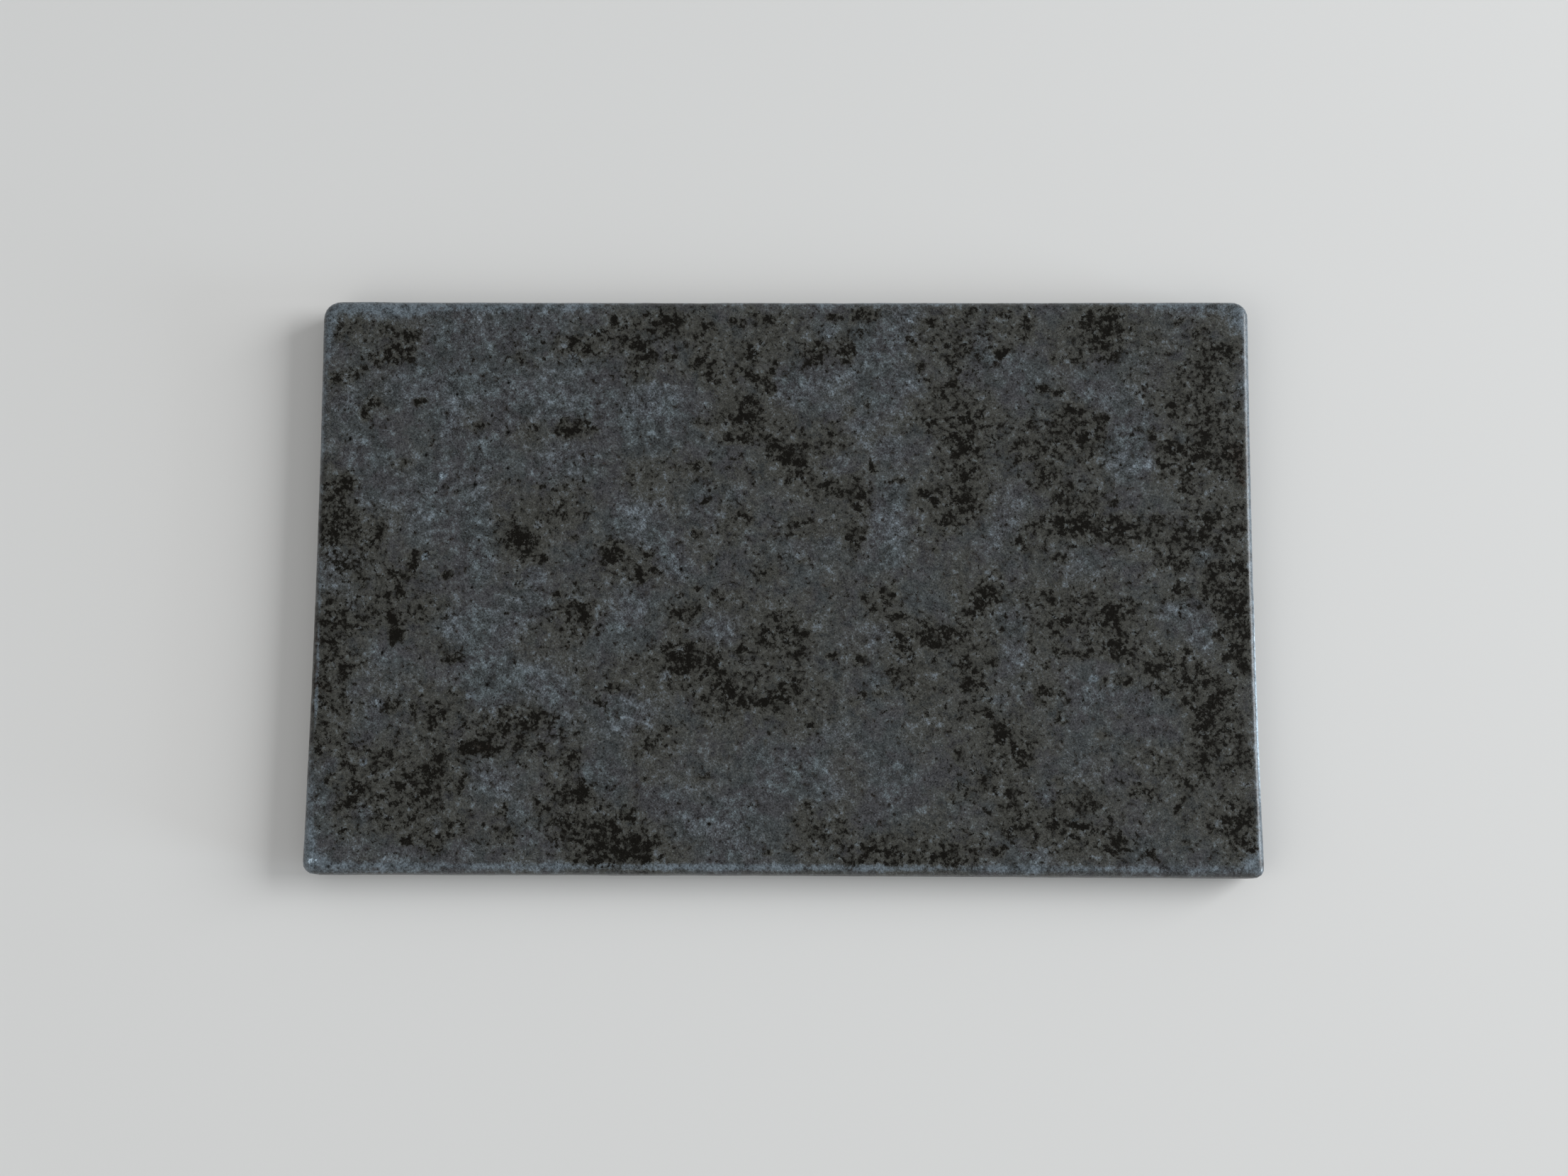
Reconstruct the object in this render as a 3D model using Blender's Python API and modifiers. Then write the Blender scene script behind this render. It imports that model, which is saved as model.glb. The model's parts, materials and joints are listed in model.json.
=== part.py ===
"""Granite slab for leather work.

A thin stone plate with rounded edges lies on four low rubber feet, so that it doesn't slide or scratch
the bench. Each foot is stuck to the sawn underside with a disc of adhesive foam.

X runs along the slab and Y across it, with the front at -Y. Z is up. The origin is on the bench, under
the middle of the slab. All sizes are in metres.
"""

import math

import bmesh
import bpy
from mathutils import Vector

# The stone
SLAB_LENGTH = 0.300
SLAB_WIDTH = 0.185
SLAB_THICKNESS = 0.010
TOP_EDGE_RADIUS = 0.0025
BOTTOM_EDGE_RADIUS = 0.0012
END_HOLLOW = 0.0008  # how far each short side bows in at its middle
SIDE_HOLLOW = 0.0003  # the same for each long side

# Radius of the flat top face at each corner, inside the rounded edge. The stone was eased by hand, so
# no two corners are alike.
FACE_CORNER_RADII = {
    "front_left": 0.0014,
    "front_right": 0.0006,
    "back_right": 0.0028,
    "back_left": 0.0034,
}

# The feet
FOOT_DIAMETER = 0.0127
FOOT_HEIGHT = 0.0018
FOOT_DRAFT = 0.0004  # how much smaller the foot's radius is at its toe than at its top
FOOT_TOE_RADIUS = 0.0006
FOOT_INSET = 0.022  # from the stone's ends and sides to a foot's centre

# The adhesive discs
ADHESIVE_MARGIN = 0.0006  # how far a disc stays inside the rim of its foot
ADHESIVE_THICKNESS = 0.0004
GLUE_LINE = 0.0003  # clearance between a disc and what it sticks to

# How finely round stretches are divided
CORNER_STEPS = 8
SIDE_STEPS = 6
TOP_EDGE_SEGMENTS = 6
BOTTOM_EDGE_SEGMENTS = 3
TOE_STEPS = 4
TURN_STEPS = 48
SMOOTH_ANGLE = math.radians(35)
MERGE_DISTANCE = 1e-5

CORNERS = {
    "front_left": (-1, -1),
    "front_right": (1, -1),
    "back_right": (1, 1),
    "back_left": (-1, 1),
}

# Levels, from the bench up
DISC_BASE = FOOT_HEIGHT + GLUE_LINE
SLAB_BASE = DISC_BASE + ADHESIVE_THICKNESS + GLUE_LINE
SLAB_TOP = SLAB_BASE + SLAB_THICKNESS


def clear_scene():
    for obj in list(bpy.data.objects):
        bpy.data.objects.remove(obj, do_unlink=True)


def make_material(name, colour, roughness, metallic=0.0):
    material = bpy.data.materials.new(name)
    material.use_nodes = True
    shader = material.node_tree.nodes["Principled BSDF"]
    shader.inputs["Base Color"].default_value = (*colour, 1.0)
    shader.inputs["Roughness"].default_value = roughness
    shader.inputs["Metallic"].default_value = metallic
    return material


def add_part(name, data, material, collection, location=(0.0, 0.0, 0.0)):
    """Links a new object with this data and material, and returns it."""
    part = bpy.data.objects.new(name, data)
    part.location = location
    if not data.materials:
        data.materials.append(material)
    collection.objects.link(part)
    return part


def corner_arc(corner):
    """Points round one corner of the plan, turning anticlockwise through a quarter."""
    side_x, side_y = CORNERS[corner]
    radius = FACE_CORNER_RADII[corner] + TOP_EDGE_RADIUS
    centre = Vector((side_x * (SLAB_LENGTH / 2 - radius), side_y * (SLAB_WIDTH / 2 - radius)))
    start = math.atan2(side_y, side_x) - math.pi / 4
    arc = []
    for step in range(CORNER_STEPS + 1):
        angle = start + step / CORNER_STEPS * math.pi / 2
        arc.append(centre + radius * Vector((math.cos(angle), math.sin(angle))))
    return arc


def bowed(point):
    """The point drawn in towards the slab's axes: most at the middle of a side, not at all at a corner."""
    end_share = 1 - (2 * point.y / SLAB_WIDTH) ** 2
    side_share = 1 - (2 * point.x / SLAB_LENGTH) ** 2
    return Vector(
        (
            point.x * (1 - 2 * END_HOLLOW / SLAB_LENGTH * end_share),
            point.y * (1 - 2 * SIDE_HOLLOW / SLAB_WIDTH * side_share),
        )
    )


def slab_outline():
    """The plan of the stone, anticlockwise: four corner arcs joined by slightly hollow sides."""
    arcs = [corner_arc(corner) for corner in CORNERS]
    outline = []
    for arc, next_arc in zip(arcs, arcs[1:] + arcs[:1]):
        outline += arc
        for step in range(1, SIDE_STEPS):
            outline.append(arc[-1].lerp(next_arc[0], step / SIDE_STEPS))
    return [bowed(point) for point in outline]


def plate_mesh(name, outline, thickness):
    """A flat plate with this plan, its middle at z = 0, made by extruding a filled 2D curve."""
    curve = bpy.data.curves.new(name + "_plan", "CURVE")
    curve.dimensions = "2D"
    curve.fill_mode = "BOTH"
    curve.extrude = thickness / 2
    spline = curve.splines.new("POLY")
    spline.points.add(len(outline) - 1)
    for point, place in zip(spline.points, outline):
        point.co = (place.x, place.y, 0.0, 1.0)
    spline.use_cyclic_u = True
    plan = bpy.data.objects.new(name + "_plan", curve)
    bpy.context.scene.collection.objects.link(plan)
    graph = bpy.context.evaluated_depsgraph_get()
    mesh = bpy.data.meshes.new_from_object(plan.evaluated_get(graph))
    mesh.name = name
    bpy.data.objects.remove(plan, do_unlink=True)
    return mesh


def round_rim(mesh_edit, level, radius, segments):
    """Rounds the edges where the flat face at this level meets the plate's sides."""
    rim = []
    for edge in mesh_edit.edges:
        on_level = all(abs(vert.co.z - level) < MERGE_DISTANCE for vert in edge.verts)
        face_tilts = [abs(face.normal.z) for face in edge.link_faces]
        if on_level and min(face_tilts) < 0.5 < max(face_tilts):
            rim.append(edge)
    bmesh.ops.bevel(
        mesh_edit,
        geom=rim,
        offset=radius,
        offset_type="OFFSET",
        segments=segments,
        profile=0.5,
        affect="EDGES",
        clamp_overlap=True,
        loop_slide=False,
    )


def build_slab(material, collection):
    """The stone: an extruded plan whose top edge is well rounded and whose bottom edge is just eased."""
    mesh = plate_mesh("slab", slab_outline(), SLAB_THICKNESS)
    mesh_edit = bmesh.new()
    mesh_edit.from_mesh(mesh)
    bmesh.ops.remove_doubles(mesh_edit, verts=mesh_edit.verts, dist=MERGE_DISTANCE)
    bmesh.ops.dissolve_limit(
        mesh_edit,
        angle_limit=math.radians(0.1),
        verts=mesh_edit.verts,
        edges=mesh_edit.edges,
        delimit={"NORMAL"},
    )
    bmesh.ops.recalc_face_normals(mesh_edit, faces=mesh_edit.faces)
    round_rim(mesh_edit, SLAB_THICKNESS / 2, TOP_EDGE_RADIUS, TOP_EDGE_SEGMENTS)
    round_rim(mesh_edit, -SLAB_THICKNESS / 2, BOTTOM_EDGE_RADIUS, BOTTOM_EDGE_SEGMENTS)
    mesh_edit.to_mesh(mesh)
    mesh_edit.free()
    mesh.shade_smooth()
    mesh.set_sharp_from_angle(angle=SMOOTH_ANGLE)
    return add_part("slab", mesh, material, collection, (0.0, 0.0, (SLAB_BASE + SLAB_TOP) / 2))


def foot_profile():
    """Half the foot's section, as (radius, height): the top, down the drafted side, round the toe."""
    top_radius = FOOT_DIAMETER / 2
    toe_radius = top_radius - FOOT_DRAFT
    profile = [(0.0, FOOT_HEIGHT), (top_radius, FOOT_HEIGHT)]
    for step in range(TOE_STEPS + 1):
        angle = step / TOE_STEPS * math.pi / 2
        radius = toe_radius - FOOT_TOE_RADIUS * (1 - math.cos(angle))
        profile.append((radius, FOOT_TOE_RADIUS * (1 - math.sin(angle))))
    profile.append((0.0, 0.0))
    return profile


def foot_mesh():
    """The open profile line, which each foot's Screw modifier turns into a solid."""
    profile = foot_profile()
    mesh = bpy.data.meshes.new("foot")
    points = [(radius, 0.0, height) for radius, height in profile]
    edges = [(i, i + 1) for i in range(len(points) - 1)]
    mesh.from_pydata(points, edges, [])
    return mesh


def turn(part):
    """Turns the part's profile about Z."""
    screw = part.modifiers.new("turn", "SCREW")
    screw.axis = "Z"
    screw.angle = 2 * math.pi
    screw.steps = TURN_STEPS
    screw.render_steps = TURN_STEPS
    screw.use_merge_vertices = True
    screw.merge_threshold = MERGE_DISTANCE
    screw.use_smooth_shade = False


def adhesive_mesh():
    """A plain disc, its middle at z = 0."""
    mesh = bpy.data.meshes.new("adhesive")
    mesh_edit = bmesh.new()
    radius = FOOT_DIAMETER / 2 - ADHESIVE_MARGIN
    bmesh.ops.create_cone(
        mesh_edit,
        cap_ends=True,
        segments=TURN_STEPS,
        radius1=radius,
        radius2=radius,
        depth=ADHESIVE_THICKNESS,
    )
    mesh_edit.to_mesh(mesh)
    mesh_edit.free()
    return mesh


def build_feet(rubber, foam, collection):
    """One rubber foot and one adhesive disc under each corner of the stone."""
    foot = foot_mesh()
    disc = adhesive_mesh()
    disc_middle = DISC_BASE + ADHESIVE_THICKNESS / 2
    for corner, (side_x, side_y) in CORNERS.items():
        x = side_x * (SLAB_LENGTH / 2 - FOOT_INSET)
        y = side_y * (SLAB_WIDTH / 2 - FOOT_INSET)
        turn(add_part("foot_" + corner, foot, rubber, collection, (x, y, 0.0)))
        add_part("adhesive_disc_" + corner, disc, foam, collection, (x, y, disc_middle))


def main():
    clear_scene()
    collection = bpy.data.collections.new("granite_slab")
    bpy.context.scene.collection.children.link(collection)
    stone = make_material("mottled_stone", (0.062, 0.064, 0.065), roughness=0.62)
    rubber = make_material("black_rubber", (0.018, 0.018, 0.019), roughness=0.75)
    foam = make_material("adhesive_foam", (0.16, 0.16, 0.16), roughness=0.85)
    build_slab(stone, collection)
    build_feet(rubber, foam, collection)


main()
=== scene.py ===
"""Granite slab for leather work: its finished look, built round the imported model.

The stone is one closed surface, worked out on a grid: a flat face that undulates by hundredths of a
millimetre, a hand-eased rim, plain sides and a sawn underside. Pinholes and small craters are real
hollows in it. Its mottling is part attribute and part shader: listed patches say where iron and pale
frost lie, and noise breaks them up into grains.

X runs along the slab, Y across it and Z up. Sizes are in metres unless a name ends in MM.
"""

import json
import math

import bpy
import numpy as np
from bpy.props import FloatProperty, FloatVectorProperty, IntProperty, PointerProperty
from bpy.types import Operator, Panel, PropertyGroup
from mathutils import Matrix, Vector

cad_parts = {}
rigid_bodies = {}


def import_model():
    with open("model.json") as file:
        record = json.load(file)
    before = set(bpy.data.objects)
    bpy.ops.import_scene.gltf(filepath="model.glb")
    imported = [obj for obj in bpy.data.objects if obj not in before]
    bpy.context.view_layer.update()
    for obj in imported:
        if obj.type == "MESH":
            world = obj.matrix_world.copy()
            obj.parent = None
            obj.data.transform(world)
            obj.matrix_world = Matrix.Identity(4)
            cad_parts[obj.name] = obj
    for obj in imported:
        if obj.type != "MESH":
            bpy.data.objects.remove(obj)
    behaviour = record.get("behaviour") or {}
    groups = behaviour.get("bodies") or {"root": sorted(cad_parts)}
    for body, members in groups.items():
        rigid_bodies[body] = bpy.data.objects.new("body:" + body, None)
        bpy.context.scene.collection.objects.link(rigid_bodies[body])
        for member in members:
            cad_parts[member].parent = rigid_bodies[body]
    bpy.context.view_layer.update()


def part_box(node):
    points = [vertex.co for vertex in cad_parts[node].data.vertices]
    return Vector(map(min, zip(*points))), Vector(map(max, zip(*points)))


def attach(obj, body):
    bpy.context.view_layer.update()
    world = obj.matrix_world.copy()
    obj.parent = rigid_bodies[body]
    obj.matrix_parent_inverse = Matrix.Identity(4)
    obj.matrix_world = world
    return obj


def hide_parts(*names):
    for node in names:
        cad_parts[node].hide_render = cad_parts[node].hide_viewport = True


bl_info = {
    "name": "Granite Slab",
    "version": (1, 0, 0),
    "blender": (4, 5, 0),
    "location": "View3D > Sidebar > Granite Slab",
    "description": "Builds a leather worker's granite slab with its rubber feet and a plain stage",
    "category": "Add Mesh",
}

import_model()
SLAB_LOW, SLAB_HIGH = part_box("slab")
CORNERS = ("front_left", "front_right", "back_right", "back_left")
MM = 0.001

# Where the stone's colours lie. Each patch is an ellipse: x, y, half its length along X, half its length
# along Y, all in millimetres, and how dense its grains are, where 1 is nearly solid.

IRON_PATCHES_MM = (
    # back left quarter
    (-145, 82, 2, 3, 0.8), (-127, 82, 3, 2, 0.7), (-121.5, 80, 2.5, 3, 0.9), (-126, 75, 4.5, 2.5, 1.0),
    (-121, 73, 2.5, 2, 0.8), (-132, 73, 2, 2, 0.7), (-144, 66.5, 4, 1.5, 0.6), (-138.5, 69, 3, 1, 0.5),
    (-132, 58.5, 2.5, 1.6, 1.1), (-134.7, 54.5, 1.3, 2, 1.1), (-117, 59, 2.2, 1.3, 1.1),
    (-141, 31.5, 4, 3, 0.8), (-145, 27, 3, 1.8, 0.65), (-138, 22.5, 2, 1.3, 0.7), (-145, 15.5, 4, 5, 0.65),
    (-138.5, 18.5, 3, 2, 0.85), (-129, 17, 1.6, 3.2, 1.0), (-116, 8.5, 2.6, 1.7, 1.1),
    (-118.5, 6, 1.6, 2.6, 1.0), (-122, 2, 4, 1.8, 0.9), (-136, 1.5, 3, 1.6, 0.8), (-107.5, 2, 2, 1.2, 0.8),
    (-84.5, 14, 4, 3.6, 1.05), (-80.5, 10.5, 1.6, 2, 0.9), (-54.5, 10, 3.6, 3.4, 1.1),
    (-68.7, 78.5, 2, 2, 1.0), (-65.5, 75, 3.5, 2, 0.65), (-73, 79.5, 1.2, 1.2, 0.7), (-60, 81, 2, 1.8, 0.7),
    (-55, 85.5, 1.8, 2.4, 1.0), (-51.5, 80, 2.2, 3, 0.85), (-69.5, 48.5, 2.2, 1.6, 1.0),
    (-71.5, 51.5, 1.6, 2, 0.6), (-65.5, 50, 2.4, 2.4, 0.7), (-61, 49.5, 1.2, 0.9, 0.9),
    (-98.5, 50, 4, 2, 0.5), (-122, 38.3, 3.5, 1.2, 0.55), (-86, 73, 4, 3, 0.4), (-78.5, 31, 1.8, 1, 0.7),
    (-70, 22, 6, 3, 0.42), (-108.5, 30.7, 1, 1, 0.8), (-104.5, 29.5, 1, 1, 0.75),
    (-67.5, 13.5, 1.2, 1, 0.7), (-77, 8, 1.3, 1.2, 0.7), (-137, 6, 5, 3, 0.4), (-131, 12, 3, 3, 0.4),
    # back, middle
    (-38.7, 85, 3.4, 3.8, 1.1), (-33.5, 85.5, 1.7, 2.2, 0.95), (-47.5, 84, 2, 2, 0.55),
    (-26, 82.5, 3, 2.5, 0.7), (-46, 77, 3.4, 1.6, 0.95), (-43.5, 74, 2, 2, 0.95), (-47.5, 72, 2, 2.4, 0.8),
    (-37, 73.5, 1.5, 1, 0.9), (-28, 72, 2.2, 1.8, 1.1), (-25.5, 68.5, 2.2, 3, 0.85),
    (-43, 66, 1.4, 1.2, 0.8), (-22, 67, 2.5, 2.2, 0.6), (-47.5, 66.5, 2, 1.5, 0.5),
    (-14.5, 74, 1.5, 1.2, 0.9), (-10, 75, 2.3, 2.4, 0.95), (-12.5, 68.5, 3.5, 2, 0.7), (-9, 67, 2, 2, 0.75),
    (-5, 67, 1.6, 2.2, 0.8), (-5.5, 63, 2.6, 2, 0.9), (-3, 72.5, 2, 1.2, 0.7), (-6, 87, 4, 1.6, 0.9),
    (-11.5, 88, 1.4, 1, 0.7), (-15, 85.5, 2, 1.2, 0.55), (10, 75, 1.8, 3, 0.75), (20.5, 75, 1.8, 3.4, 0.8),
    (15.5, 86.5, 1.3, 1, 0.9), (25.5, 87.5, 2.4, 1.8, 1.0), (29, 88, 1, 1.4, 0.9),
    (47.5, 85, 2.5, 1.4, 0.75), (41, 77, 1.3, 3, 0.55), (43.8, 70, 1, 2, 0.9), (47, 66, 1.2, 1.2, 0.7),
    (49.5, 61.5, 2, 2.2, 0.8), (45.5, 53, 2.4, 2.2, 0.7), (27, 57.5, 1.2, 1.8, 0.65),
    (21, 55, 1.4, 1.2, 0.6), (-18, 53.5, 2.8, 2, 0.9), (-12.5, 58, 3.4, 1.8, 0.95), (-12, 54.5, 3, 2, 0.9),
    (-10.5, 51.5, 3, 2, 0.85), (-26, 52, 2.4, 1.3, 0.6), (-13.5, 47.5, 3, 1.6, 0.8),
    (-19, 46.5, 1.8, 1.6, 0.7), (-5.5, 46.5, 2, 1.5, 1.05), (-2.5, 44, 1.5, 2.2, 1.0),
    (1.5, 41.5, 3.2, 2, 1.1), (5, 39, 1.6, 2.6, 1.05), (1, 38, 1.6, 2.2, 0.95), (2.2, 34.5, 2.2, 1.7, 0.9),
    (5.7, 34.8, 1.3, 1.4, 0.75), (7.5, 44.5, 1.2, 1.4, 0.9), (14.5, 45, 1.6, 1.4, 0.85),
    (15.5, 48.2, 1.8, 1.2, 0.8), (18.5, 44, 0.9, 0.9, 0.8), (17, 52, 0.8, 0.8, 0.9), (15, 31, 2, 1.5, 0.85),
    (17.5, 28.5, 1.8, 1.2, 0.9), (12, 31.5, 1.3, 1.2, 0.75), (23.7, 28.7, 2.2, 1.4, 0.95),
    (23, 25.5, 1.8, 1, 0.85), (25.7, 24, 1.8, 1.8, 1.0), (28.7, 36.3, 1, 1.1, 1.0),
    (36, 33.5, 2.3, 1.4, 1.1), (45, 29, 2.5, 1.7, 1.1), (49, 27, 2.5, 3.5, 0.7), (4.5, 19, 3.2, 1.2, 0.85),
    (4, 15.5, 3, 1.2, 0.65), (-13.5, 21.7, 1.7, 1.3, 0.8), (-11, 19.5, 1.4, 1.2, 0.85),
    (-28.3, 15, 2, 1.1, 0.9), (-23.6, 25.3, 0.9, 1.4, 1.0), (-28.5, 38.3, 1.8, 1.3, 1.0),
    (-25.5, 35.8, 2, 1.2, 0.55), (-48, 35, 2, 2, 0.5), (-34, 43, 0.8, 0.7, 0.9), (-42.5, 8, 1.6, 1, 0.9),
    (-45, 2.3, 1.7, 2.6, 1.1), (-42, 3, 1.6, 1.2, 1.0), (-23, 8.5, 1.8, 1, 0.7), (-6, 2, 4, 2.5, 0.5),
    (22.5, 13, 1.6, 3, 0.75), (22, 16, 4, 1.6, 0.6), (44, 15.5, 2.4, 1, 0.7), (49, 11, 1.4, 0.9, 0.75),
    (6, 6.5, 2.5, 0.9, 0.55),
    # back right quarter
    (59, 88, 3, 1.3, 0.7), (71.5, 87, 1.9, 1.3, 0.75), (78, 86.5, 1.8, 2, 0.6), (78, 82, 1.5, 1.8, 0.8),
    (69.5, 75.5, 3.2, 1.8, 1.0), (57, 76, 2, 2, 0.7), (54.5, 72, 2.6, 2.4, 0.6), (54.5, 65, 1.3, 2.6, 0.8),
    (57.5, 57.5, 1.8, 2.4, 0.7), (58, 53.5, 1.7, 1.8, 0.9), (62, 54.5, 1.7, 1.6, 1.0),
    (57, 46, 3.4, 2.2, 0.95), (58, 43, 2.4, 1.6, 0.9), (54.5, 41.5, 1.4, 1.3, 0.8),
    (62.3, 43.5, 1.4, 2.4, 0.7), (57.3, 35.5, 2, 2.8, 1.0), (57.5, 28, 2.7, 2.2, 0.95),
    (57.5, 24.5, 2.8, 1.7, 1.0), (52, 19.5, 2.1, 1.4, 1.0), (105, 86.5, 3.4, 2, 1.0),
    (103.5, 83, 4, 2.6, 1.0), (98, 86, 2, 2, 0.8), (111.5, 83, 2.2, 1.8, 0.65), (102, 77.5, 2, 1.3, 0.8),
    (105.5, 75, 3.2, 2.4, 0.65), (94, 73, 2, 1.2, 0.65), (87, 73, 1.1, 1.1, 0.8), (83, 62.5, 1.2, 1, 1.1),
    (87, 61.8, 1.9, 1.1, 0.95), (93, 55, 3.6, 2.2, 0.9), (101, 53, 2.6, 1.3, 0.85),
    (87.5, 51.5, 1.3, 1, 0.8), (96, 46.8, 3.2, 1.7, 1.05), (102, 46.5, 1.4, 2.4, 0.7),
    (88, 48, 1.3, 1.8, 0.7), (82, 42, 3.6, 1.5, 1.0), (77.5, 40.5, 2.8, 1, 0.9), (79.5, 51.5, 1, 1.6, 0.75),
    (75, 45, 2, 1.4, 0.6), (83, 34.5, 2.2, 2.8, 0.7), (87.6, 35, 1.3, 1.3, 0.8), (91, 31, 2, 1.8, 0.7),
    (99, 29.5, 1.8, 0.9, 0.9), (89, 26.5, 3, 2.6, 0.65), (97, 26, 3, 1.8, 0.55), (105, 26.7, 2.8, 1, 0.65),
    (87.5, 19, 2.3, 1.9, 1.0), (93.5, 18.5, 3.4, 2.2, 1.05), (98.5, 15.5, 1.8, 1, 0.9),
    (102.5, 15.5, 1.4, 1.4, 0.6), (107.7, 17, 2.1, 2.2, 1.0), (115, 15.5, 2.6, 1.6, 0.85),
    (119.5, 20.5, 2, 1.4, 0.6), (75.3, 13.5, 1.7, 1.5, 1.05), (78.3, 11.3, 1.7, 1.1, 0.8),
    (87.5, 8, 2.8, 1.7, 0.65), (66, 29, 1.3, 0.8, 0.8), (123.5, 8, 3, 1.8, 1.0), (126, 5, 1.4, 1.6, 0.85),
    (126.5, 13.7, 3.6, 1.7, 1.0), (133, 17, 2.4, 1.4, 0.9), (136, 21.3, 2.8, 2.2, 0.9),
    (137, 13.5, 2.8, 1.5, 1.0), (145, 24, 1.6, 0.9, 0.9), (144, 17.5, 2.6, 1.9, 0.7),
    (143.5, 6.3, 3, 1.9, 0.9), (135.5, 3.5, 1.8, 2, 1.0), (141, 76, 3, 2, 0.95), (143, 73.5, 2, 1.7, 0.85),
    (133.5, 82, 2.4, 2.8, 0.7), (135, 69, 2.3, 2.2, 1.0), (134.7, 64.5, 1.5, 1.8, 0.8),
    (134, 75.5, 1.4, 2.4, 0.55), (127, 85, 1.5, 1.3, 0.7), (123.5, 58, 1.6, 1.5, 0.95),
    (125.3, 55, 1.2, 1.8, 0.75), (129.8, 59, 1, 1, 0.9), (135.5, 54, 1.5, 3.6, 0.9),
    (134, 47, 1.8, 2.8, 0.9), (144.5, 57, 2, 1.7, 0.75), (113, 49.5, 1.4, 1, 1.05),
    (117.8, 48, 1.2, 2, 1.0), (122.5, 45, 2.2, 2.2, 1.0), (126.5, 42.5, 3, 1.8, 1.0),
    (132.5, 41.5, 2.7, 1.9, 1.1), (121.5, 38, 1.8, 1.4, 0.9), (137.5, 38.5, 1.3, 1.8, 0.7),
    (128, 34, 2.2, 2.6, 0.7), (127.5, 30, 1.8, 1.2, 0.7), (143.5, 42.5, 2.8, 3, 0.85),
    (145.3, 35.5, 1.2, 4, 0.6),
    # front left quarter
    (-123.5, -12, 2.4, 3, 1.15), (-123, -17.3, 2.1, 2.5, 1.15), (-126.5, -5, 1.7, 1.4, 1.0),
    (-121.5, -2.5, 1.6, 2, 0.9), (-133.5, -1, 1.3, 1, 0.8), (-139.5, -11.5, 1, 1.6, 0.95),
    (-142, -14.5, 1.3, 0.8, 0.9), (-146, -12, 1.4, 1.8, 0.9), (-136, -14.5, 1.8, 0.9, 0.8),
    (-130, -14.8, 1.5, 0.7, 0.85), (-132.5, -12, 0.9, 0.8, 0.85), (-131, -9.5, 1.3, 1, 0.6),
    (-147.7, -23.3, 1, 1.1, 1.0), (-145, -23.5, 1.4, 1.2, 1.0), (-141.5, -20.5, 1.1, 0.8, 0.8),
    (-132.2, -26.5, 1, 0.8, 0.7), (-137, -28, 3, 1.3, 0.75), (-104.5, -25, 2.5, 1.4, 1.1),
    (-107, -23.5, 2, 1.4, 0.5), (-113, -11.5, 1.8, 2.2, 0.6), (-115.5, -7.5, 1.1, 1.3, 0.8),
    (-103, -35, 2.8, 2, 0.7), (-123.5, -40.5, 2.4, 1.9, 0.95), (-116.3, -39.3, 1.8, 1.3, 0.8),
    (-108.5, -42, 2.2, 1.8, 1.1), (-110, -45.3, 2.8, 2.2, 0.85), (-86.5, -42.5, 2.8, 2, 0.8),
    (-79, -45.5, 2.7, 1.9, 1.1), (-76.5, -43, 1.8, 1.6, 0.9), (-72.5, -44.5, 1.5, 2.2, 0.65),
    (-87.5, -47, 2.8, 1.6, 0.9), (-93, -48, 1.8, 1.2, 0.9), (-77, -51.5, 1.9, 1.4, 0.7),
    (-82.5, -51, 2.4, 1.7, 0.8), (-69.5, -48.5, 0.9, 1.2, 0.85), (-97, -51, 2.7, 1.2, 1.0),
    (-94, -52.7, 3.8, 2, 1.0), (-101, -53.5, 1.2, 1.5, 1.05), (-92, -55.5, 1.3, 1, 0.85),
    (-99, -55, 1.5, 1.3, 0.7), (-145.5, -52.5, 1.5, 2.4, 0.7), (-130.5, -53, 1, 1, 0.8),
    (-124.5, -55.5, 4, 2, 0.65), (-108, -56.5, 2, 2, 1.05), (-113.5, -59, 3, 1.4, 0.75),
    (-110, -61.3, 3.2, 2, 1.0), (-121.5, -64.5, 2.5, 1.5, 1.05), (-117, -62.5, 2.6, 1.4, 0.8),
    (-110, -65.5, 2.2, 1.8, 1.0), (-113.5, -67, 2.4, 2, 0.8), (-114, -70, 2, 1.3, 0.75),
    (-108.5, -70, 1.4, 1.4, 0.65), (-99, -62.5, 1.9, 1.4, 1.05), (-102, -65, 2.2, 1.7, 0.95),
    (-133.5, -65, 1.8, 2, 0.8), (-142.3, -63.3, 1, 2, 1.0), (-136.5, -59, 1.9, 1.8, 0.7),
    (-135.5, -69.5, 1.7, 1.2, 1.05), (-138, -71.3, 2.2, 1.3, 0.8), (-126.8, -69.8, 1, 1, 1.0),
    (-124, -68.3, 1.3, 1, 0.7), (-125.2, -78, 0.9, 1.3, 0.9), (-136.5, -79, 1.8, 0.9, 0.7),
    (-115.8, -81.3, 2.5, 1.7, 1.0), (-102.5, -77.3, 2.3, 1.3, 0.8), (-108, -83, 3, 2.2, 0.6),
    (-86, -80, 3, 2.2, 0.7), (-105, -80, 2.5, 1.4, 0.55), (-87.3, -72, 1.2, 1.6, 0.8),
    (-74.5, -72, 1.7, 1.2, 1.0), (-76.5, -70, 0.9, 1.3, 0.7), (-71.5, -75.5, 1.3, 1, 0.9),
    (-66.5, -67, 3.8, 3, 0.8), (-62.5, -67, 1.8, 3.2, 1.0), (-66, -56.5, 3.4, 2.6, 0.6),
    (-66.5, -78.5, 3.6, 2.2, 0.8), (-56.5, -78, 3.4, 1.3, 0.8), (-58, -84, 2.4, 1.8, 1.0),
    (-54, -81.5, 3.2, 2.2, 1.0), (-51, -86, 3.4, 2.6, 1.15), (-56, -88.3, 4.2, 1.2, 1.05),
    (-64, -88.5, 3, 1.2, 0.75), (-57.5, -38, 1.8, 1.7, 0.7), (-52.5, -33, 1.8, 2.3, 0.7),
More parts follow.
